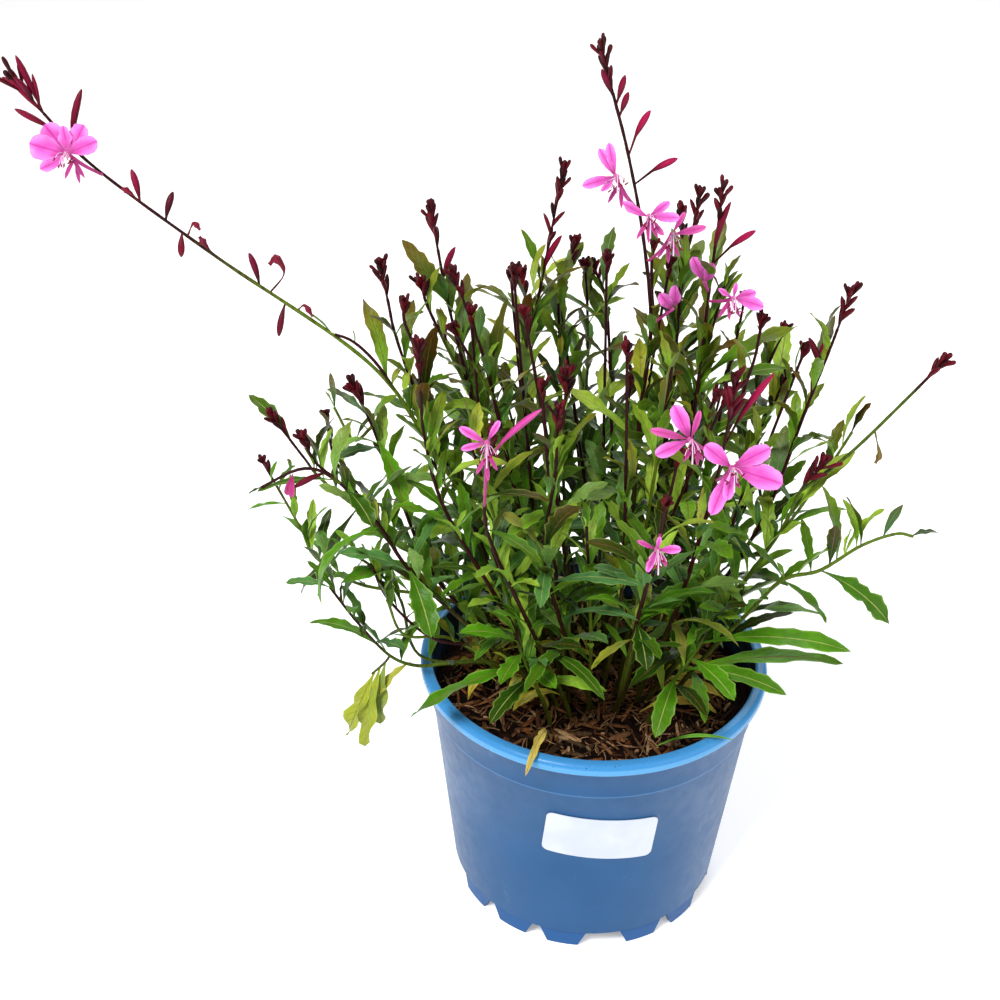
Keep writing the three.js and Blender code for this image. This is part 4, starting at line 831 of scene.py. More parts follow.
def way_at(azimuth, rise):
    """A direction at two angles: around Z, and up from the level."""
    return np.array([math.cos(rise) * math.cos(azimuth), math.cos(rise) * math.sin(azimuth), math.sin(rise)])


def ruled_leaf(stem, number, draw):
    """The leaf that the rule gives for a number in the row: its place, and its shape for each try."""
    share = (number + 0.6 * next(draw)) / stem["leaves"]
    azimuth = GOLDEN_TURN * number + stem["seed"] + (next(draw) - 0.5) * 0.6
    length = stem["leaf_length"] * (1.15 - 0.35 * share) * (0.88 + 0.24 * next(draw))
    elevation = math.radians(blend(8, 50, share)) + (next(draw) - 0.5) * 0.35
    half_width = length * (0.135 + 0.03 * next(draw))
    arch = 0.06 + 0.09 * next(draw)

    def shape_for(foot, turn, lift, scale):
        angle = azimuth + math.radians(turn)
        rise = elevation + math.radians(lift)
        return foot + way_at(angle, rise) * length * scale, half_width * scale, arch

    return [blend(stem["first"], stem["last"], share), shape_for]


def set_leaf(place, tip, half_width):
    """A listed leaf: its tip is given, and it too turns about its foot where it must."""

    def shape_for(foot, turn, lift, scale):
        reach = np.array(tip, float) - foot
        c, s = math.cos(math.radians(turn) / 3), math.sin(math.radians(turn) / 3)
        reach = np.array([c * reach[0] - s * reach[1], s * reach[0] + c * reach[1], reach[2]]) * scale
        reach[2] += lift / 3
        return foot + reach, half_width, 0.08

    return [place, shape_for]


def leaves_of(stem, curve, taken_places):
    """All leaves of a stem, moved apart where two would leave it at one point."""
    draw = draws(stem["seed"])
    leaves = [set_leaf(*tip) for tip in stem["tips"]]
    leaves += [ruled_leaf(stem, i, draw) for i in range(stem["leaves"])]
    taken = list(taken_places)
    for leaf in leaves:
        space = NODE_SPACING / curve.speed(leaf[0])
        while any(abs(other - leaf[0]) < space for other in taken):
            leaf[0] -= space / 2
        taken.append(leaf[0])
    return leaves


def solid_points(name):
    """The corners of a solid, in millimetres from the pot's axis."""
    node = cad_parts[name]
    return np.array([(node.matrix_world @ v.co)[:] for v in node.data.vertices]) / MM - POT_AXIS / MM


def leaf_as_placed(place, shape_for, curve, corners):
    """The first of the tries whose tip is a corner of the solid, or None where the leaf was left out."""
    foot = curve.point(place)
    for scale in LENGTH_TRIES:
        for lift in LIFT_TRIES:
            for turn in TURN_TRIES:
                tip, half_width, arch = shape_for(foot, turn, lift, scale)
                if (np.abs(corners - tip).max(axis=1) < SAME_POINT).any():
                    return foot, tip, half_width, arch
    return None


class Paint:
    """A procedural material in the making: a shader, and short names for its nodes."""

    def __init__(self, name, roughness=0.5, specular=0.5):
        self.material = bpy.data.materials.new(name)
        self.material.use_nodes = True
        self.tree = self.material.node_tree
        self.shader = self.tree.nodes["Principled BSDF"]
        self.shader.inputs["Roughness"].default_value = roughness
        self.shader.inputs["Specular IOR Level"].default_value = specular
        self.place = self.node("ShaderNodeTexCoord", {})["Object"]

    def put(self, socket, value):
        """Links a socket to another one, or sets it to a number, a vector or a colour's code."""
        if isinstance(value, bpy.types.NodeSocket):
            self.tree.links.new(value, socket)
        else:
            socket.default_value = colour(value) if isinstance(value, str) else value

    def node(self, kind, inputs, **settings):
        """The outputs of a new node, with its settings made and its inputs put by number or name."""
        node = self.tree.nodes.new(kind)
        for key, value in settings.items():
            setattr(node, key, value)
        for key, value in inputs.items():
            self.put(node.inputs[key], value)
        return node.outputs

    def math(self, operation, a, b=0.0, clamp=False):
        return self.node("ShaderNodeMath", {0: a, 1: b}, operation=operation, use_clamp=clamp)[0]

    def plus(self, a, b, clamp=False):
        return self.math("ADD", a, b, clamp)

    def minus(self, a, b):
        return self.math("SUBTRACT", a, b)

    def times(self, a, b):
        return self.math("MULTIPLY", a, b)

    def stripes(self, value):
        """How far a value is from halfway between two whole numbers, from 0 to 0.5."""
        return self.math("ABSOLUTE", self.minus(self.math("FRACT", value), 0.5))

    def between(self, value, low, high, to_low=0.0, to_high=1.0):
        """value from low to high as a smooth share, or as a smooth way between two other numbers."""
        inputs = dict(enumerate((value, low, high, to_low, to_high)))
        return self.node("ShaderNodeMapRange", inputs, interpolation_type="SMOOTHSTEP")[0]

    def rising(self, height, low, high):
        """The same for a height, with its two limits in millimetres."""
        return self.between(height, low * MM, high * MM)

    def mix(self, share, a, b):
        return self.node("ShaderNodeMix", {0: share, 6: a, 7: b}, data_type="RGBA")[2]

    def over(self, base, code, share, most=1.0):
        """A colour laid over another by a share, and at most by another number."""
        return self.mix(share if most == 1.0 else self.times(share, most), base, code)

    def noise(self, size, detail=3.0, stretch=None, roughness=0.55):
        """Noise with features of about that size in millimetres."""
        place = self.place
        if stretch:
            place = self.node("ShaderNodeMapping", {"Vector": place, "Scale": stretch})[0]
        inputs = {"Vector": place, "Scale": 1000 / size, "Detail": detail, "Roughness": roughness}
        return self.node("ShaderNodeTexNoise", inputs)["Fac"]

    def cells(self, size):
        """Distance from the middle of round cells of about that size in millimetres."""
        inputs = {"Vector": self.place, "Scale": 1000 / size}
        return self.node("ShaderNodeTexVoronoi", inputs)["Distance"]

    def parts_of(self, name):
        """The three numbers of a vertex attribute, or of the place where name is None."""
        source = self.place
        if name:
            source = self.node("ShaderNodeAttribute", {}, attribute_name=name)["Vector"]
        return tuple(self.node("ShaderNodeSeparateXYZ", {0: source}))

    def bump(self, height, depth):
        """Relief of about that depth in millimetres."""
        inputs = {"Strength": 1.0, "Distance": depth * MM, "Height": height}
        self.put(self.shader.inputs["Normal"], self.node("ShaderNodeBump", inputs)[0])

    def finish(self, base, rough=None):
        self.put(self.shader.inputs["Base Color"], base)
        if rough is not None:
            self.put(self.shader.inputs["Roughness"], rough)
        return self.material


def colour(code):
    """A colour from its screen code, as linear light."""
    parts = [int(code[k:k + 2], 16) / 255 for k in (1, 3, 5)]
    return [((c + 0.055) / 1.055) ** 2.4 if c > 0.04045 else c / 12.92 for c in parts] + [1.0]


def pot_plastic():
    """Blue plastic, lighter at its lip as painted light, with painted highlight lines at the lip's two edges
    and along its shoulder, with scuffs, and dust near the soil.
    """
    p = Paint("pot_plastic", specular=0.16)
    _, _, height = p.parts_of(None)
    edge, _, _ = p.parts_of("tint")
    cloud = p.noise(38, 4)
    wall = p.mix(p.between(cloud, 0.3, 0.7), "#1a4b78", "#1e507f")
    # Painted highlight: a lighter line along the shoulder's step, as where light catches it.
    painted_highlight = p.times(p.rising(height, SHOULDER_HEIGHT - 0.1, SHOULDER_HEIGHT + 0.4),
                   p.rising(height, SHOULDER_HEIGHT + 1.6, SHOULDER_HEIGHT + 0.7))
    wall = p.over(wall, "#4b80b4", painted_highlight, 0.6)
    lip_underside = POT_HEIGHT - LIP_DEPTH
    # Painted light: the lip's whole band is painted a lighter blue than the wall; it is also made glossier.
    lip = p.rising(height, lip_underside - 0.8, lip_underside + 0.6)
    wall = p.over(wall, "#3a80b8", lip)
    # Painted highlight lines along the lip's two edges, which the tint's first number marks.
    wall = p.over(wall, "#5c9fd0", edge, 0.7)
    wall = p.over(wall, "#1e5187", p.rising(height, WALL_FOOT_HEIGHT, WALL_FOOT_HEIGHT - 0.9))
    scuffs = p.between(p.noise(9, 5, (1.0, 1.0, 0.25), 0.7), 0.62, 0.72)
    wall = p.over(wall, "#7ba3cf", scuffs, 0.08)
    specks = p.between(p.noise(2.3, 4, None, 0.7), 0.66, 0.7)
    dust = p.times(specks, p.rising(height, POT_HEIGHT - 9, POT_HEIGHT - 4))
    wall = p.over(wall, "#3a2f28", dust, 0.75)
    p.bump(p.plus(cloud, p.noise(1.1, 2)), 0.03)
    gloss = p.between(p.noise(6, 4), 0.25, 0.75, 0.32, 0.42)
    return p.finish(wall, p.minus(gloss, p.times(lip, 0.12)))


def pot_inside():
    p = Paint("pot_inside", 0.5)
    dirt = p.noise(7, 5)
    base = p.mix(p.between(dirt, 0.35, 0.62), "#1d3c64", "#141d2a")
    p.bump(dirt, 0.2)
    return p.finish(base, p.between(dirt, 0.3, 0.7, 0.42, 0.7))


def soil_crumb():
    p = Paint("soil_crumb", 0.95, 0.1)
    crumb = p.noise(3.2, 6, None, 0.7)
    base = p.mix(p.between(crumb, 0.4, 0.72), "#070201", "#2e160a")
    base = p.over(base, "#8b6a4c", p.between(p.cells(4.5), 0.09, 0.06), 0.5)
    p.bump(p.plus(crumb, p.noise(0.9, 3)), 1.4)
    return p.finish(base)


def bark():
    """Bark: its tint says how red, pale and light it is."""
    p = Paint("bark", 0.8, 0.08)
    red, pale, light = p.parts_of("tint")
    streak = p.noise(1.6, 5, None, 0.65)
    base = p.mix(p.between(light, 0.15, 1.0), "#150703", "#76441f")
    base = p.over(base, "#64301a", red, 0.35)
    base = p.over(base, "#c9a478", pale)
    base = p.over(base, "#1c0f08", p.between(streak, 0.4, 0.66), 0.55)
    p.bump(p.plus(streak, p.noise(0.5, 2)), 0.35)
    return p.finish(base, p.between(streak, 0.3, 0.7, 0.62, 0.92))


def label_paper():
    p = Paint("label_paper", 0.42, 0.5)
    fibre = p.noise(0.7, 4)
    soft = p.noise(16, 3)
    base = p.mix(p.between(soft, 0.3, 0.7), "#b8c0cd", "#c4cad5")
    p.bump(p.plus(fibre, p.times(soft, 6.0)), 0.03)
    return p.finish(base, p.between(fibre, 0.3, 0.7, 0.36, 0.5))


def leaf_skin(name="leaf", dark="#163403", mid="#518c10", bright="#9abf3c"):
    """A leaf: along and across give its midrib and veins, and its tint how yellow, red and light it is."""
    p = Paint(name, specular=0.17)
    along, across, own = p.parts_of("grain")
    yellow, red, light = p.parts_of("tint")
    out = p.math("ABSOLUTE", across)
    mottle = p.noise(5, 4, None, 0.6)
    base = p.mix(p.between(light, 0.08, 0.62), dark, mid)
    base = p.over(base, bright, p.between(light, 0.55, 1.0))
    # Some leaves are a paler grey-green, partly their own tone and partly a painted sheen. Each is mottled,
    # and has a painted highlight along its margin.
    base = p.over(base, "#55855a", p.between(own, 0.7, 0.9), 0.5)
    base = p.over(base, dark, p.between(mottle, 0.35, 0.7), 0.3)
    # Painted highlight: a pale band along the leaf's margin.
    base = p.over(base, "#a0c05c", p.between(out, 0.78, 1.0, 0.0, 0.36))
    # The veins slant forwards from the midrib.
    slant = p.minus(p.times(along, 9.0), p.times(out, 1.6))
    vein = p.times(p.between(p.stripes(p.plus(slant, own)), 0.07, 0.0), p.between(out, 0.95, 0.5))
    base = p.over(base, "#86a548", vein, 0.2)
    # Red comes in from the tip and the edges, and yellow in blotches.
    bronze = p.times(red, p.between(p.plus(along, p.times(out, 0.4)), 0.35, 1.1))
    base = p.over(base, "#6c3a10", bronze, 0.65)
    old = p.times(yellow, p.between(p.plus(mottle, p.times(out, 0.3)), 0.3, 0.65))
    base = p.over(base, "#b4a834", old)
    rib = p.between(out, 0.085, 0.03)
    ruddy = p.plus(red, p.between(own, 0.45, 0.2), True)
    base = p.over(base, p.mix(ruddy, "#a9b461", "#8d5138"), rib, 0.65)
    relief = p.minus(p.noise(0.9, 3), p.times(vein, 0.8))
    p.bump(p.minus(relief, p.times(rib, 1.2)), 0.22)
    return p.finish(base, p.between(mottle, 0.25, 0.75, 0.27, 0.4))


def stem_bark():
    """A stem goes from green to dark red-brown as its tint's red grows."""
    p = Paint("stem", specular=0.12)
    red, brown, light = p.parts_of("tint")
    streak = p.noise(1.4, 4, (1.0, 1.0, 0.22))
    base = p.mix(light, "#2e420a", "#62791a")
    base = p.over(base, "#2c050a", p.between(p.plus(red, p.times(streak, 0.3)), 0.4, 0.95))
    base = p.over(base, "#321d0b", brown, 0.85)
    base = p.over(base, "#150705", p.between(streak, 0.45, 0.7), 0.5)
    p.bump(streak, 0.12)
    return p.finish(base, p.between(streak, 0.3, 0.7, 0.38, 0.55))


def bud_skin():
    """A bud is dark maroon. Its tint's first number turns it towards pink and its second towards olive."""
    p = Paint("bud", specular=0.14)
    along, around, _ = p.parts_of("grain")
    pink, olive, light = p.parts_of("tint")
    down = p.noise(0.6, 3)
    base = p.mix(light, "#220205", "#5c0516")
    base = p.over(base, "#9c0b43", p.times(p.between(along, 0.1, 0.6), pink))
    base = p.over(base, "#6f7a34", olive)
    seam = p.between(p.stripes(p.times(around, 4.0)), 0.1, 0.02)
    base = p.over(base, "#1a050a", seam, 0.5)
    p.bump(p.minus(down, seam), 0.15)
    return p.finish(base, p.between(down, 0.3, 0.7, 0.36, 0.55))


def petal_skin():
    """A petal is deep pink at its foot and along its veins. Its tint turns it pale or deep pink."""
    p = Paint("petal", 0.55, 0.25)
    along, across, _ = p.parts_of("grain")
    pale, deep, _ = p.parts_of("tint")
    out = p.math("ABSOLUTE", across)
    silk = p.noise(3, 3)
    base = p.mix(p.between(along, 0.0, 0.5), "#a2176f", "#d049ad")
    base = p.over(base, "#e067c2", p.between(silk, 0.35, 0.7), 0.4)
    base = p.over(base, "#e98ada", p.between(p.plus(out, along), 0.8, 1.7), 0.8)
    base = p.over(base, "#a0147a", p.between(out, 0.16, 0.02), 0.6)
    # The veins fan out from the foot.
    fan = p.math("DIVIDE", across, p.plus(p.times(along, 0.35), 0.65))
    vein = p.times(p.between(p.stripes(p.times(fan, 4.5)), 0.12, 0.02), p.between(along, 1.0, 0.55))
    base = p.over(base, "#ac1a88", vein, 0.5)
    base = p.over(base, "#a3155c", deep, 0.7)
    base = p.over(base, "#f6d7ec", pale)
    p.bump(p.minus(silk, p.times(vein, 0.5)), 0.2)
    p.shader.inputs["Sheen Weight"].default_value = 0.15
    return p.finish(base, p.between(silk, 0.3, 0.7, 0.45, 0.62))


def floor_paint():
    """A plain pale floor that also glows a little, as a lit sheet of paper does."""
    p = Paint("floor", 0.7, 0.2)
    base = p.mix(p.between(p.noise(400, 2), 0.3, 0.7), "#f6f6f7", "#fafafa")
    p.shader.inputs["Emission Color"].default_value = (1, 1, 1, 1)
    p.shader.inputs["Emission Strength"].default_value = 0.31
    return p.finish(base)


POT_PLASTIC = pot_plastic()
POT_INSIDE = pot_inside()
SOIL_CRUMB = soil_crumb()
BARK = bark()
LABEL_PAPER = label_paper()
LEAF = leaf_skin()
WITHERED = leaf_skin("withered", "#5d7218", "#8ba02c", "#b4b64c")
DRY = leaf_skin("dry", "#8a6a2c", "#b08d45", "#cfb473")
GRASS = leaf_skin("grass", "#4a8a2a", "#6fae3a", "#9cc95a")
STEM = stem_bark()
BUD = bud_skin()
PETAL = petal_skin()


def turns(count):
    """Angles of a full turn in equal steps."""
    return [2 * math.pi * k / count for k in range(count)]


def lathe(profile, sectors):
    """Points and faces of a profile turned about the pot's axis."""
    points = [on_cylinder(radius, turn, height) for radius, height in profile for turn in turns(sectors)]
    return points, lofted(len(profile), sectors, (False, False))


def circle(centre, radius, height, sectors):
    return [(centre[0] + radius * math.cos(turn), centre[1] + radius * math.sin(turn), height)
            for turn in turns(sectors)]


def arc(centre, radius, start, end, steps):
    """Points of an arc in the profile plane, between two angles in degrees."""
    angles = [math.radians(blend(start, end, i / steps)) for i in range(steps + 1)]
    return [(centre[0] + radius * math.cos(t), centre[1] + radius * math.sin(t)) for t in angles]


def add_floor(shape, underside_radius, top_radius):
    """The pot's floor, filled in between its edge and the drain holes, on both sides."""
    work = bmesh.new()
    rings = []
    for edge_radius, height in ((underside_radius, FLOOR_UNDERSIDE), (top_radius, FLOOR_TOP)):
        loops = [circle((0, 0), edge_radius, height, POT_SECTORS)]
        for turn in turns(DRAIN_COUNT):
            loops.append(circle(on_cylinder(DRAIN_RING_RADIUS, turn, 0), DRAIN_RADIUS, height, DRAIN_SECTORS))
        edges = []
        for loop in loops:
            corners = [work.verts.new(point) for point in loop]
            edges += [work.edges.new((corners[k - 1], corners[k])) for k in range(len(corners))]
            rings.append(corners)
        bmesh.ops.triangle_fill(work, use_beauty=True, edges=edges)
    # Each hole gets a wall from its ring on the underside to the one on the top.
    for low, high in list(zip(rings[:len(rings) // 2], rings[len(rings) // 2:]))[1:]:
        for k in range(len(low)):
            work.faces.new((low[k - 1], low[k], high[k], high[k - 1]))
    work.verts.index_update()
    points = [corner.co[:] for corner in work.verts]
    faces = [tuple(corner.index for corner in face.verts) for face in work.faces]
    work.free()
    shape.add(points, faces, (0, 0, 0), (0, 0, 0), 1)


def pot_profile(underside_radius, floor_radius):
    """The pot's section in three runs of points: up its outside, over its lip, and down its inside."""
    lip_underside = POT_HEIGHT - LIP_DEPTH
    neck = wall_radius(lip_underside) + SHOULDER_STEP
    outer = [
        (underside_radius, FLOOR_UNDERSIDE), (WALL_FOOT_RADIUS - 0.5, WALL_FOOT_HEIGHT - 0.5),
        (WALL_FOOT_RADIUS, WALL_FOOT_HEIGHT), (wall_radius(11), 11), (wall_radius(55), 55),
        (wall_radius(SHOULDER_HEIGHT - 0.3), SHOULDER_HEIGHT - 0.3),
        (SHOULDER_RADIUS + 0.25, SHOULDER_HEIGHT + 0.1), (SHOULDER_RADIUS + 0.7, SHOULDER_HEIGHT + 0.5),
        (SHOULDER_RADIUS + SHOULDER_STEP, SHOULDER_HEIGHT + 1),
        (neck, lip_underside - 0.4), (neck + 0.3, lip_underside), (RIM_RADIUS - LIP_ROUNDS[0], lip_underside),
    ]
    low, top, inside = LIP_ROUNDS
    lip = arc((RIM_RADIUS - low, lip_underside + low), low, -90, 0, 4)
    lip += arc((RIM_RADIUS - top, POT_HEIGHT - top), top, 0, 90, 6)
    lip += arc((LIP_INNER_RADIUS + inside, POT_HEIGHT - inside), inside, 90, 180, 5)
    inner = [
        (LIP_INNER_RADIUS, POT_HEIGHT - 3), (neck - WALL_THICKNESS + 0.1, lip_underside - 1),
        (neck - WALL_THICKNESS, lip_underside - 2), (wall_radius(60) - WALL_THICKNESS, 60),
        (floor_radius, FLOOR_TOP + 1), (floor_radius - 1, FLOOR_TOP),
    ]
    return outer, lip, inner


def add_feet(shape):
    """Short feet around the wall's foot, narrower at the bottom than at the top."""
    top = WALL_FOOT_HEIGHT - 0.4
    for azimuth in FOOT_AZIMUTHS:
        rings = []
        for step in range(FOOT_STEPS + 1):
            side = step / FOOT_STEPS - 0.5
            low = from_front(azimuth + side * FOOT_BOTTOM_ANGLE)
            high = from_front(azimuth + side * FOOT_TOP_ANGLE)
            rings += [
                on_cylinder(FOOT_INNER_RADIUS, low, 0), on_cylinder(FOOT_OUTER_RADIUS - 0.4, low, 0),
                on_cylinder(FOOT_OUTER_RADIUS, low, 0.5), on_cylinder(FOOT_OUTER_RADIUS, high, top),
                on_cylinder(FOOT_INNER_RADIUS, high, top),
            ]
        shape.add(rings, lofted(FOOT_STEPS + 1, 5), (0, 0, 0), (0, 0, 0))


def build_pot():
    underside_radius = WALL_FOOT_RADIUS - 2.2
    floor_radius = wall_radius(FLOOR_TOP) - WALL_THICKNESS
    outer, lip, inner = pot_profile(underside_radius, floor_radius)
    points, faces = lathe(outer + lip + inner, POT_SECTORS)
    # The lip's two edges get painted highlight lines, lighter than the rest of it.
    painted_highlight = np.zeros((len(outer + lip + inner), 3))
    painted_highlight[len(outer) + 2:len(outer) + 6, 0] = 1
    painted_highlight[len(outer + lip) - 4:len(outer + lip) - 1, 0] = 1
    shape = Shape()
    shape.add(points, faces, (0, 0, 0), np.repeat(painted_highlight, POT_SECTORS, axis=0))
    add_floor(shape, underside_radius, floor_radius - 1)
    inside_from = len(outer + lip) * POT_SECTORS
    for number, face in enumerate(faces):
        if min(face) >= inside_from - POT_SECTORS and max(face) >= inside_from:
            shape.slots[number] = 1
    add_feet(shape)
    shape.build("pot_shell", [POT_PLASTIC, POT_INSIDE], "pot_plastic", "pot", edge_angle=38)


def soil_edge_radius():
    return wall_radius(SOIL_EDGE_HEIGHT) - WALL_THICKNESS - SOIL_GAP


def soil_height(x, y):
    """Height of the soil's surface, with clods and hollows."""
    share = min(math.hypot(x, y) / soil_edge_radius(), 1)
    clods = 2.2 * noise.noise(Vector((x, y, 7)) / 13) + 1.1 * noise.noise(Vector((x, y, 3)) / 4.5)
    return SOIL_EDGE_HEIGHT + SOIL_CROWN_RISE * (1 - share ** 2) + clods * (1 - 0.4 * share)


def build_soil():
    low_radius = wall_radius(FLOOR_TOP + 3) - WALL_THICKNESS - SOIL_GAP
    points, _ = lathe([(low_radius - 3, FLOOR_TOP + 0.3), (low_radius, FLOOR_TOP + 3)], SOIL_SECTORS)
    for ring in range(SOIL_RINGS, 0, -1):
        for turn in turns(SOIL_SECTORS):
            x, y, _ = on_cylinder(soil_edge_radius() * ring / SOIL_RINGS, turn, 0)
            points.append((x, y, soil_height(x, y)))
    shape = Shape()
    shape.add(points, lofted(SOIL_RINGS + 2, SOIL_SECTORS), (0, 0, 0), (0, 0, 0))
    shape.build("soil_bed", [SOIL_CRUMB], "substrate", "soil")


def somewhere(radius, draw):
    """A place at random inside a circle."""
    reach = radius * math.sqrt(draw.random())
    angle = draw.random() * 2 * math.pi
    return reach * math.cos(angle), reach * math.sin(angle)


# A chip's outline, as shares of its length and width, and its layers: height share and how narrow it is.
CHIP_OUTLINE = [(-0.5, 0.1), (-0.38, -0.42), (0.1, -0.5), (0.46, -0.3), (0.5, 0.15), (0.2, 0.46), (-0.3, 0.5)]
CHIP_LAYERS = [(-0.5, 0.86), (0.15, 1.0), (0.5, 0.8)]


def add_chip(shape, draw):
    """A flat splinter of bark, tilted a little, on the soil."""
    x, y = somewhere(soil_edge_radius() - 5, draw)
    length = 2.5 + 14 * draw.random() ** 1.9
    width = 0.7 + 0.2 * length * draw.random() ** 2 + 0.7 * draw.random()
    thick = 0.4 + 0.9 * draw.random()
    turn = Matrix.Rotation(draw.random() * 2 * math.pi, 3, "Z")
    turn = turn @ Matrix.Rotation(draw.normal(0, 0.34), 3, "Y") @ Matrix.Rotation(draw.normal(0, 0.6), 3, "X")
    turn = np.array(turn)
    centre = np.array([x, y, soil_height(x, y) + 0.35 * thick + 0.7])
    rings = []
    for level, narrow in CHIP_LAYERS:
        for px, py in CHIP_OUTLINE:
            jitter = 1 + 0.22 * (draw.random() - 0.5)
            local = np.array([px * length * narrow * jitter, py * width * narrow * jitter, level * thick])
            rings.append(centre + turn @ local)
    pale = draw.random() * (0.7 if draw.random() > 0.82 else 0.12)
    tint = (draw.random() ** 2, pale, draw.random() ** 1.3)
    grain = np.tile(np.array([(px + 0.5, py, tint[2]) for px, py in CHIP_OUTLINE]), (len(CHIP_LAYERS), 1))
    shape.add(rings, lofted(len(CHIP_LAYERS), len(CHIP_OUTLINE)), grain, tint)


def add_fibre(shape, draw):
    """A thin curved fibre on the soil. It ends at the pot, and is left out where little of it stays."""
    edge = soil_edge_radius()
    x, y = somewhere(edge - 9, draw)
    way = draw.random() * 2 * math.pi
    length = 5 + 13 * draw.random()
    sway = draw.normal(0, 0.18)
    line = []
    for step in np.linspace(-0.5, 0.5, 7):
        px = x + length * step * math.cos(way + sway * step * 4)
        py = y + length * step * math.sin(way + sway * step * 4)
        if math.hypot(px, py) > edge - 1.5:
            break
        line.append((px, py, soil_height(px, py) + 0.75 + 1.3 * (0.25 - step ** 2)))
    if len(line) < 4:
        return
    radii = [0.16 + 0.2 * draw.random() for _ in line]
    add_tube(shape, line, radii, 4, (draw.random(), 0.6 * draw.random() ** 2, draw.random()), 0)


def build_bark():
    """Bark chips and fibres that lie on the soil."""
    draw = np.random.default_rng(BARK_SEED)
    shape = Shape()
    for _ in range(CHIP_COUNT):
        add_chip(shape, draw)
    for _ in range(FIBRE_COUNT):
        add_fibre(shape, draw)
    shape.build("soil_bark", [BARK], "substrate")


def label_points():
    """The sticker's back and front as two grids of points, narrower at its rounded corners."""
    half_width, half_height = LABEL_SIZE[0] / 2, LABEL_SIZE[1] / 2
    points = []
    for layer in LABEL_LAYERS:
        for i in range(LABEL_COLUMNS + 1):
            along = -half_width * math.cos(math.pi * i / LABEL_COLUMNS)
            in_corner = max(0.0, abs(along) - (half_width - LABEL_CORNER))
            reach = half_height - LABEL_CORNER + math.sqrt(max(LABEL_CORNER ** 2 - in_corner ** 2, 0))
            for j in range(LABEL_ROWS + 1):
                up = reach * (2 * j / LABEL_ROWS - 1)
                arc_length = along * math.cos(LABEL_TILT) - up * math.sin(LABEL_TILT)
                height = LABEL_CENTRE_HEIGHT + along * math.sin(LABEL_TILT) + up * math.cos(LABEL_TILT)
                radius = wall_radius(height) + layer
                points.append(on_cylinder(radius, from_front(LABEL_AZIMUTH) + arc_length / radius, height))
    return points


def build_label():
    """A blank sticker bent around the wall."""
    across = LABEL_ROWS + 1
    layer_size = (LABEL_COLUMNS + 1) * across
    faces = []
    for i in range(LABEL_COLUMNS):
        for j in range(LABEL_ROWS):
            a = i * across + j
            faces.append((a, a + 1, a + across + 1, a + across))
            faces.append(tuple(layer_size + k for k in (a, a + across, a + across + 1, a + 1)))
    rim = [i * across for i in range(LABEL_COLUMNS + 1)]
    rim += [LABEL_COLUMNS * across + j for j in range(1, LABEL_ROWS + 1)]
    rim += [i * across + LABEL_ROWS for i in range(LABEL_COLUMNS - 1, -1, -1)]
    rim += range(LABEL_ROWS - 1, 0, -1)
    for k, start in enumerate(rim):
        after = rim[(k + 1) % len(rim)]
        faces.append((start, after, layer_size + after, layer_size + start))
    shape = Shape()
    shape.add(label_points(), faces, (0, 0, 0), (0, 0, 0))
    shape.build("label_sticker", [LABEL_PAPER], "label_paper", "label", edge_angle=40)


def fits(foot, tip, arch):
    """Whether an extra leaf keeps inside the plant's box and clear of the lip and the open soil in front."""
    middle = (foot + tip) / 2 + UP * arch * np.linalg.norm(tip - foot)
    for point in (middle, (middle + tip) / 2, tip):
        where = point * MM + POT_AXIS
        if (where < BOX_LOW).any() or (where > BOX_HIGH).any():
            return False
        over_soil = math.hypot(point[0], point[1]) <= OPEN_RADIUS
        if not over_soil and point[2] < POT_HEIGHT + 2:
            return False
        slope = BARE_FRONT_HEIGHT - BARE_FRONT_SLOPE * point[1]
        if over_soil and point[2] < max(SOIL_EDGE_HEIGHT + 6, slope):
            return False
    return True


def add_extra_leaves(shape, seed, curve, start, stop, spacing, lengths, rises, draw):
    """Finer leaves around a stretch of stem, with small tufts beside them, where they fit."""
    leaves = []
    place = start
    number = 0
    while place < stop:
        share = (place - start) / (stop - start)
        azimuth = GOLDEN_TURN * number + seed * 1.7 + draw.normal(0, 0.3)
        length = blend(lengths[0], lengths[1], share) * draw.uniform(0.7, 1.15)
        rise = math.radians(blend(rises[0], rises[1], share) + draw.normal(0, 11))
        foot = curve.point(place)
        tip = foot + way_at(azimuth, rise) * length
        leaves.append((foot, tip, length * draw.uniform(0.08, 0.125), draw.uniform(0.04, 0.17)))
        if draw.random() < TUFT_SHARE:
            small = draw.uniform(*TUFT_LENGTHS)
            way = way_at(azimuth + draw.normal(0, 0.7), rise + draw.uniform(0.1, 0.5))
            leaves.append((foot, foot + way * small, small * draw.uniform(0.12, 0.16), 0.06))
        place += spacing * draw.uniform(0.7, 1.3) / curve.speed(place)
        number += 1
    for foot, tip, half_width, arch in leaves:
        if fits(foot, tip, arch):
            add_leaf(shape, foot, tip, half_width, arch, draw)


def leaf_tint(tip, draw):
    """How yellow, red and light a leaf is: old ones yellow near the soil, and bronze ones high up."""
    old = 0.0
    if tip[2] < OLD_BELOW and math.hypot(tip[0], tip[1]) < OLD_WITHIN and draw.random() < OLD_CHANCE:
        old = draw.uniform(0.5, 1)
    elif draw.random() < 0.05:
        old = draw.uniform(0.2, 0.6)
    red = float(eased(tip[2], *BRONZE_HEIGHTS)) * draw.uniform(0.1, 1.0) + 0.12 * draw.random()
    return old, red, draw.random() ** 0.9


def add_leaf(shape, foot, tip, half_width, arch, draw, tint=None, lift=UP):
    """A green leaf with drawn folds and teeth. A longer one has more steps along it."""
    length = np.linalg.norm(tip - foot)
    steps = 8 if length < 17 else 18 if length > 30 else 15
    add_blade(shape, foot, tip, half_width, arch, tint or leaf_tint(tip, draw), 1, lift=lift,
              fold=draw.uniform(0.14, 0.36), steps=steps, teeth=draw.uniform(0.08, 0.22),
              wave=draw.uniform(0.06, 0.22), thickness=0.42, twist=draw.normal(0, 0.28), phase=draw.random())


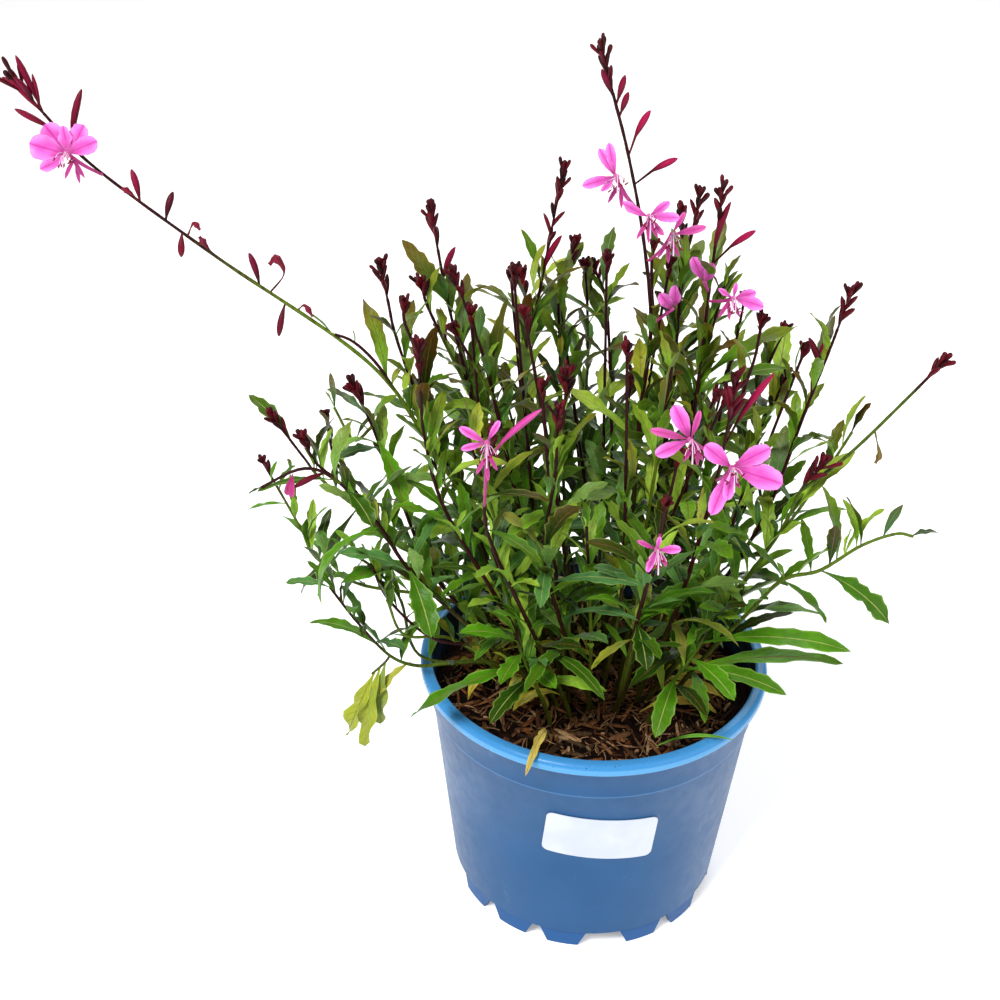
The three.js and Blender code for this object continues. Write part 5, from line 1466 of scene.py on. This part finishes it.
def add_buds(shape, curve, cluster, seed, slot, draw, end_size=None):
    """The cluster's buds as they stand in the solid, with short blunt buds around the curve's tip."""
    length, count, bud_length = cluster
    for place, tip, radius in cluster_buds(curve, cluster, seed):
        foot = curve.point(place)
        pink = float(eased(np.linalg.norm(tip - foot), 8, 14)) * 0.6
        add_spindle(shape, foot, tip, radius * BUD_SHARE, (pink, 0, draw.random()), slot, bend=0.06)
    end = curve.spans
    along = curve.direction(end)
    for number in range(min(count, 6)):
        foot = curve.point(end - length * draw.uniform(0, 0.35) / curve.speed(end))
        way = tilted_from(along, math.radians(draw.uniform(14, 36)), GOLDEN_TURN * (number + 0.5))
        reach = bud_length * draw.uniform(0.7, 1.0)
        add_spindle(shape, foot, foot + way * reach, draw.uniform(0.75, 1.0), (0, 0, draw.random()), slot,
                    stalk=0.12, outline=BLUNT)
    last = curve.point(end)
    add_spindle(shape, last, last + along * (end_size or bud_length) * 0.7, 1.1, (0, 0, draw.random()), slot,
                outline=BLUNT)


def add_stem(shape, curve, radius, red_from, seed, foot_brown=0.9):
    """A slim stem, dark at its foot, then olive, and dark red towards its tip."""
    length = sum(curve.speed(place) * 0.1 for place in np.arange(0, curve.spans, 0.1))
    places = np.linspace(0, curve.spans, max(int(length / STEM_STEP), 4) + 1)
    share = places / curve.spans
    swelling = 1 + 0.07 * np.sin(places * 19 + seed)
    radii = blend(radius, FINE_TIP_RADIUS, np.clip(share * 1.25, 0, 1)) * swelling
    red = np.clip((share - red_from) / 0.3 + 0.5, 0, 1)
    brown = np.clip(1.35 - share / 0.4, 0, 1) * foot_brown
    light = np.full(len(places), 0.3 + 0.5 * math.sin(seed) ** 2)
    add_tube(shape, [curve.point(place) for place in places], radii, STEM_SIDES, (0, 0, 0), 0)
    shape.tint[-1] = np.repeat(np.stack([red, brown, light], 1), STEM_SIDES, axis=0)


def add_stem_buds(shape, stem, curve, draw):
    """The buds along a stem, in slot 2, or as pink as a petal in slot 3 where one is about to open."""
    opening = stem["name"] == OPENING_BUD_STEM
    for place, tip, *stalk in stem["buds"]:
        pink = 0.9 if stalk else draw.uniform(0.1, 0.5)
        tint = (0, 0.7, draw.random()) if opening else (pink, 0, draw.random())
        add_spindle(shape, curve.point(place), tip, 1.35, tint, 3 if opening else 2,
                    stalk=stalk[0] if stalk else 0.16, bend=0.05)


def add_solid_leaves(shape, stem, curve, taken, draw):
    """The leaves that the solid has, slimmer and finer. The listed ones come first."""
    corners = solid_points("stem_" + stem["name"])
    found = 0
    for place, rule in leaves_of(stem, curve, taken):
        leaf = leaf_as_placed(place, rule, curve, corners)
        if not leaf:
            continue
        foot, tip, half_width, arch = leaf
        old, red, light = leaf_tint(tip, draw)
        if found < len(stem["tips"]):
            lift = TURNED_LEAF_LIFT if stem["name"] == TURNED_LEAF_STEM else UP
            colour = (0.0, red, light * 0.62)
            add_leaf(shape, foot, tip, half_width * SET_LEAF_SHARE, arch, draw, colour, lift)
        else:
            low_in_front = tip[2] < 185 and tip[1] < -15
            kept = LOW_LEAF_SHARE if low_in_front else LEAF_SHARE
            add_leaf(shape, foot, tip, half_width * kept, arch, draw, (old, red, light))
        found += 1


def add_side_shoot(shape, curve, count, length, crown, red_from, draw):
    """A thin shoot off a stem: a few small leaves, and a small bud cluster where it has one."""
    add_stem(shape, curve, SIDE_SHOOT_RADIUS, red_from, count + length, foot_brown=0.3)
    spacing = sum(curve.speed(place) * 0.25 for place in np.arange(0, curve.spans, 0.25)) / count
    stop = curve.spans * (0.8 if crown else 1.0)
    add_extra_leaves(shape, length, curve, 0.2, stop, spacing, (length, length * 0.8), (35, 68), draw)
    if crown:
        add_buds(shape, curve, crown, count + 7, 2, draw, crown[2] * 0.8)
    else:
        end = curve.point(curve.spans)
        way = curve.direction(curve.spans)
        add_leaf(shape, end - way, end + way * length * 0.55, length * 0.08, 0.04, draw)


def add_finer_growth(shape, stem, curve, draw):
    """What only the finer stem has: extra leaves, a few listed leaves, and side shoots."""
    name = stem["name"]
    start, stop = EXTRA_RANGE.get(name, (EXTRA_START, EXTRA_STOP * curve.spans))
    add_extra_leaves(shape, stem["seed"], curve, start, stop, EXTRA_SPACING, EXTRA_LENGTHS, EXTRA_RISES, draw)
    for parent, place, tip, half_width, arch in FINE_LEAVES:
        if parent == name:
            add_leaf(shape, curve.point(place), tip, half_width, arch, draw)
    for parent, place, points, count, length, crown in SIDE_SHOOTS:
        if parent == name:
            red_from = 0.4 if crown else 0.1 if parent in RED_SHOOT_STEMS else NEVER_RED
            add_side_shoot(shape, Curve([curve.point(place)] + points), count, length, crown, red_from, draw)


def branch_curve(stem):
    """The curve of a stem's own branch, which has no leaves."""
    return Curve([stem_curve(stem).point(stem["branch"]["first"])] + stem["branch"]["points"])


def build_stem(stem):
    """A stem with its leaves, buds and side shoots, in place of its solid."""
    name = stem["name"]
    curve = stem_curve(stem)
    draw = np.random.default_rng(stem["seed"])
    shape = Shape()
    add_stem(shape, curve, stem["radius"] * STEM_SHARE, RED_FROM.get(name, USUAL_RED_FROM), stem["seed"])
    add_stem_buds(shape, stem, curve, draw)
    taken = [bud[0] for bud in stem["buds"]]
    if "crown" in stem:
        add_buds(shape, curve, stem["crown"], stem["seed"], 2, draw)
        taken += [bud[0] for bud in cluster_buds(curve, stem["crown"], stem["seed"])]
    if "branch" in stem:
        line = branch_curve(stem)
        add_stem(shape, line, SIDE_SHOOT_RADIUS, red_from=0.7, seed=3, foot_brown=0)
        add_buds(shape, line, stem["branch"]["crown"], stem["seed"] + 60, 2, draw)
        taken.append(stem["branch"]["first"])
    add_solid_leaves(shape, stem, curve, taken, draw)
    add_finer_growth(shape, stem, curve, draw)
    materials = [STEM, LEAF, BUD, PETAL] if name == OPENING_BUD_STEM else [STEM, LEAF, BUD]
    shape.build(f"leafy_stem_{name}", materials, "foliage", "stem_" + name)
    if "head" in stem:
        build_head(stem, curve, draw)


def build_head(stem, curve, draw):
    """The bud head at a stem's tip, in place of its solid."""
    length, _, bud_length = stem["head"]
    along = curve.direction(curve.spans)
    joint = curve.point(curve.spans)
    base = joint + along * JOINT_GAP
    axis = Curve([base, base + along * length / 2, base + along * length])
    shape = Shape()
    line = [joint + along * (length * share - 0.2) for share in (0, 0.25, 0.5, 0.75, 1)]
    add_tube(shape, line, np.linspace(0.5, 0.45, 5), 8, (1, 0, 0.3), 1)
    add_buds(shape, axis, stem["head"], stem["seed"], 0, draw, bud_length * 0.8)
    shape.build(f"bud_head_{stem['name']}", [BUD, STEM], "bud_maroon", "buds_" + stem["name"])


def build_inner_shoots():
    """Thin leafy shoots between the main stems. Some of the tall ones are bare dark stalks with buds."""
    draw = np.random.default_rng(INNER_SEED)
    shape = Shape()
    for number in range(INNER_SHOOTS):
        share = (number + 0.5) / INNER_SHOOTS
        angle = GOLDEN_TURN * number + 0.6
        reach = blend(INNER_SPREAD[0], INNER_SPREAD[1], math.sqrt(share))
        top_height = blend(INNER_HEIGHTS[1], INNER_HEIGHTS[0], share ** 1.4) + draw.normal(0, 12)
        foot = np.array([reach * 0.45 * math.cos(angle), reach * 0.4 * math.sin(angle), SOIL_EDGE_HEIGHT + 1])
        top = np.array([reach * 1.05 * math.cos(angle) - 3, reach * 0.8 * math.sin(angle), top_height])
        bow = np.array([draw.normal(0, 4), draw.normal(0, 4), 0])
        curve = Curve([foot, blend(foot, top, 0.35) + bow, blend(foot, top, 0.7) + bow * 0.6, top])
        stalk = share < INNER_TALL_SHARE and number % 3 < 2
        add_stem(shape, curve, 1.0, 0.3 if stalk else 0.55 + 0.4 * draw.random(), number)
        stop = curve.spans * (0.66 if stalk else 1.0)
        add_extra_leaves(shape, number, curve, 0.8, stop, INNER_SPACING, INNER_LENGTHS, INNER_RISES, draw)
        if stalk:
            add_buds(shape, curve, INNER_BUDS, number, 2, draw)
    shape.build("inner_shoots", [STEM, LEAF, BUD], "foliage")


def in_bloom(right, up, out):
    """A step in a bloom's own directions, in millimetres."""
    return BLOOM_RIGHT * right + BLOOM_UP * up + BLOOM_FACING * out


def bloom_tube(bloom, curve, radius):
    """The curve of a bloom's tube, from beside its stem to its mouth, and the point in the stem behind it."""
    at = bloom["at"]
    heart = np.array(bloom["centre"], float)
    on_stem = curve.point(at)
    stem_way = curve.direction(at)
    away = heart - on_stem
    away = unit(away - stem_way * (away @ stem_way))
    start = on_stem + away * (blend(radius, STEM_TIP_RADIUS, at / curve.spans) + 2 * JOINT_GAP)
    return Curve([start, (start + heart) / 2 + away, heart, heart + BLOOM_FACING * 2]), on_stem


def add_petals(shape, bloom, tube, draw):
    """The petals, around the tube's mouth. Narrow ones are deeper pink."""
    for number, (angle, length, *own_width) in enumerate(bloom["petals"]):
        turn = math.radians(angle)
        wide = own_width[0] if own_width else bloom["wide"]
        deep = 0.8 if wide < 0.15 else 0.0
        foot = tube.point(2.05 + 0.28 * number)
        lean = 0.15 + draw.uniform(-0.1, 0.1)
        tip = foot + in_bloom(math.cos(turn), math.sin(turn), lean) * length
        half_width = length * wide * PETAL_SHARE
        add_blade(shape, foot, tip, half_width, draw.uniform(-0.12, 0.06), (0.0, deep, draw.random()), 0,
                  lift=BLOOM_FACING, fold=draw.uniform(0.05, 0.3), outline=PETAL_OUTLINE, steps=18,
                  teeth=0.03, wave=0.16, thickness=0.3, twist=draw.normal(0, 0.3), phase=draw.random())


def add_sepals(shape, tube, draw):
    """Three narrow sepals that hang folded back below the petals."""
    for number, angle in enumerate((-60, -120, -85)):
        turn = math.radians(angle)
        foot = tube.point(1.7 - 0.12 * number)
        tip = foot + in_bloom(math.cos(turn), math.sin(turn), -0.25) * 8
        add_blade(shape, foot, tip, 0.85, 0.08, (0.0, 0.9, 0.4), 0, lift=BLOOM_FACING, fold=0.3,
                  outline=NARROW_OUTLINE, steps=8, teeth=0, wave=0.1, thickness=0.3, phase=draw.random())


def add_stamens(shape, mouth, draw):
    """Thin stamens that hang in a fan from the mouth, each with a dark anther, and the longer style."""
    inside = mouth - BLOOM_FACING * 1.2
    for number in range(STAMEN_COUNT):
        spread = 2 * number / (STAMEN_COUNT - 1) - 1
        reach = draw.uniform(5, 8)
        drop = draw.uniform(2, 6.5)
        end = mouth + in_bloom(spread * draw.uniform(1.5, 4), -drop, reach * 0.6)
        strand = Curve([inside, (mouth + end) / 2 + in_bloom(0, 0.8, 1.8), end])
        add_tube(shape, strand.line(8), [0.14] * 8, 5, (0.6, 0, 0.5), 0)
        way = unit(in_bloom(draw.normal(0, 1), -0.8, 0.2))
        add_spindle(shape, end - way, end + way, 0.32, (0.5, 0, 1), 1, sides=6)
    style = [inside, mouth + in_bloom(0, 0, 3), mouth + in_bloom(0, -4, 5), mouth + in_bloom(0, -9, 4.5)]
    add_tube(shape, style, [0.22, 0.22, 0.2, 0.3], 6, (0.6, 0, 0.5), 0)


def build_bloom(bloom, curve, radius, seed):
    """An open flower: a slim tube, petals around its mouth, hanging stamens and folded-back sepals."""
    draw = np.random.default_rng(seed)
    tube, on_stem = bloom_tube(bloom, curve, radius)
    shape = Shape()
    add_tube(shape, [on_stem] + tube.line(19), np.linspace(0.5, 1.05, 20), 8, (0, 0.9, 0), 0)
    add_petals(shape, bloom, tube, draw)
    add_sepals(shape, tube, draw)
    add_stamens(shape, tube.points[-1], draw)
    shape.build(f"flower_{bloom['name']}", [PETAL, BUD], "petal_pink", "bloom_" + bloom["name"])


def build_petal_remnants(curves):
    """Loose petals with the tubes that carry them, withered flowers, and listed slim buds."""
    draw = np.random.default_rng(REMNANT_SEED)
    shape = Shape()
    for foot, tip, half_width, deep in LOOSE_PETALS:
        foot, tip = np.array([foot, tip], float)
        add_blade(shape, foot, tip, half_width, 0.08, (0, deep, draw.random()), 0,
                  lift=(0, -1, 0.3), fold=0.35, outline=PETAL_OUTLINE, steps=14, teeth=0, wave=0.15,
                  thickness=0.3, twist=draw.normal(0, 0.4), phase=draw.random())
    for stem, place, end in HIDDEN_TUBES:
        line = np.linspace(curves[stem].point(place), end, 6)
        add_tube(shape, line, np.linspace(0.5, 0.9, 6), 8, (0, 0.9, 0), 0)
    share = np.linspace(0, 1, 14)
    # Withered flowers are crumpled, and thickest past their middle.
    swelling = eased(share, 0.35, 0.65) * (1 - 0.6 * eased(share, 0.7, 1))
    crumpling = 1 + 0.25 * np.sin(share * 19)
    for stem, place, points, thick, brown in WITHERED_FLOWERS:
        curve = Curve([curves[stem].point(place)] + points)
        radii = (0.35 + thick * swelling) * crumpling
        add_tube(shape, curve.line(14), radii, 7, (0.35, brown, draw.random()), 1)
    for stem, place, tip in LONG_BUDS:
        add_spindle(shape, curves[stem].point(place), tip, 1.25, (0.35, 0, draw.random()), 1, stalk=0.25)
    shape.build("petal_remnants", [PETAL, BUD], "petal_pink")


def build_withered_leaves(curves):
    """Withered leaves that hang on a stalk from the trailing stem, and a pale one above them."""
    draw = np.random.default_rng(WITHERED_SEED)
    start, knot = np.array(WITHERED_STALK, float)
    parent, place = WITHERED_PARENT
    stalk = Curve([curves[parent].point(place), blend(start, knot, 0.25), knot])
    shape = Shape()
    add_tube(shape, stalk.line(12), [0.6] * 12, 8, (0.25, 0.6, 0.6), 1)
    for number, tip in enumerate(WITHERED_TIPS):
        foot = blend(start, knot, 0.8 - 0.3 * number)
        add_blade(shape, foot, tip, 4.2, 0.06, (0.3 * draw.random(), 0.1, 0.5), 0, lift=(-0.4, -1, 0),
                  fold=0.5, teeth=0.12, wave=0.5, phase=draw.random(), twist=draw.normal(0, 0.5))
    foot, tip = np.array(PALE_LEAF, float)
    add_blade(shape, foot, tip, 2.6, 0.12, (0.15, 0, 1), 0, fold=0.3, teeth=0.1, wave=0.2, phase=0.4)
    shape.build("withered_bundle", [WITHERED, STEM], "withered_leaf", "withered_leaves")


def build_dry_leaf():
    foot, tip = np.array(DRY_LEAF, float)
    shape = Shape()
    add_blade(shape, foot, tip, 1.8, 0.26, (0.5, 0.1, 0.9), 0, teeth=0.2, wave=0.6, fold=0.5, phase=0.3,
              twist=0.5)
    shape.build("dry_curl", [DRY], "dry_leaf", "dry_leaf")


def build_grass():
    foot, tip = np.array(GRASS_BLADE, float)
    shape = Shape()
    add_blade(shape, foot, tip, 1.3, 0.1, (0, 0, 0.6), 0, outline=NARROW_OUTLINE, teeth=0, wave=0.05,
              phase=0.2)
    shape.build("grass_leaf", [GRASS], "grass", "grass_blade")


def build_old_leaves():
    """Old shrivelled leaves around the feet of the stems, except over the open soil in front."""
    draw = np.random.default_rng(OLD_LEAF_SEED)
    shape = Shape()
    for number in range(OLD_LEAF_COUNT):
        angle = GOLDEN_TURN * number
        reach = blend(OLD_LEAF_REACH[0], OLD_LEAF_REACH[1], math.sqrt(draw.random()))
        x, y = reach * math.cos(angle), reach * math.sin(angle)
        foot = np.array([x, y, soil_height(x, y) + draw.uniform(1, 16)])
        length = draw.uniform(14, 30)
        way = angle + draw.normal(0, 0.8)
        tip_x, tip_y = x + length * math.cos(way), y + length * math.sin(way)
        if math.hypot(tip_x, tip_y) > OLD_LEAF_LIMIT or tip_y < OLD_LEAF_FRONT:
            continue
        tip = np.array([tip_x, tip_y, soil_height(tip_x, tip_y) + draw.uniform(1.2, 12)])
        tint = (draw.uniform(0.3, 1), draw.random() * 0.9, draw.random() ** 1.5)
        slot = 0 if draw.random() < 0.55 else 1
        add_blade(shape, foot, tip, length * draw.uniform(0.05, 0.11), draw.uniform(0.1, 0.3), tint, slot,
                  fold=draw.uniform(0.3, 0.8), steps=14, teeth=0.1, wave=draw.uniform(0.4, 0.9),
                  thickness=0.35, twist=draw.normal(0, 0.9), phase=draw.random())
    shape.build("old_leaves", [WITHERED, DRY], "withered_leaf")


def set_camera():
    """The photo's camera, fitted on the pot's circles: it looks down and is rolled a little."""
    ahead = Vector((0, math.cos(CAMERA_PITCH), -math.sin(CAMERA_PITCH)))
    up = Vector((0, math.sin(CAMERA_PITCH), math.cos(CAMERA_PITCH)))
    across = Vector((1, 0, 0))
    right_axis = across * math.cos(CAMERA_ROLL) + up * math.sin(CAMERA_ROLL)
    up_axis = up * math.cos(CAMERA_ROLL) - across * math.sin(CAMERA_ROLL)
    data = bpy.data.cameras.new("camera")
    data.lens = 50
    data.sensor_width = 36
    camera = link("camera", data)
    place = Matrix.Translation(Vector(np.array(CAMERA_PLACE) * MM + POT_AXIS))
    camera.matrix_world = place @ Matrix((right_axis, up_axis, -ahead)).transposed().to_4x4()
    bpy.context.scene.camera = camera


def lay_floor():
    mesh = bpy.data.meshes.new("floor")
    corners = [(x * FLOOR_REACH, y * FLOOR_REACH, 0) for x, y in ((-1, -1), (1, -1), (1, 1), (-1, 1))]
    mesh.from_pydata(corners, [], [(0, 1, 2, 3)])
    mesh.materials.append(floor_paint())
    link("floor", mesh)


def set_lights():
    for name, place, size, power in LIGHTS:
        light = bpy.data.lights.new(name, "AREA")
        light.size = size
        light.energy = power
        lamp = link(name, light)
        lamp.location = place
        lamp.rotation_euler = (Vector(LIGHT_AIM) - Vector(place)).to_track_quat("-Z", "Y").to_euler()
    world = bpy.data.worlds.new("studio")
    bpy.context.scene.world = world
    world.use_nodes = True
    background = world.node_tree.nodes["Background"]
    background.inputs["Color"].default_value = (1, 1, 1, 1)
    background.inputs["Strength"].default_value = WORLD_STRENGTH
    bpy.context.scene.view_settings.view_transform = "Standard"


build_pot()
build_soil()
build_bark()
build_label()
curves = {stem["name"]: stem_curve(stem) for stem in STEMS}
curves.update({"branch": branch_curve(stem) for stem in STEMS if "branch" in stem})
radii = {stem["name"]: stem["radius"] for stem in STEMS}
for stem in STEMS:
    build_stem(stem)
build_inner_shoots()
for number, bloom in enumerate(BLOOMS):
    build_bloom(bloom, curves[bloom["stem"]], radii[bloom["stem"]], FIRST_BLOOM_SEED + number)
build_petal_remnants(curves)
build_withered_leaves(curves)
build_dry_leaf()
build_grass()
build_old_leaves()
set_camera()
lay_floor()
set_lights()
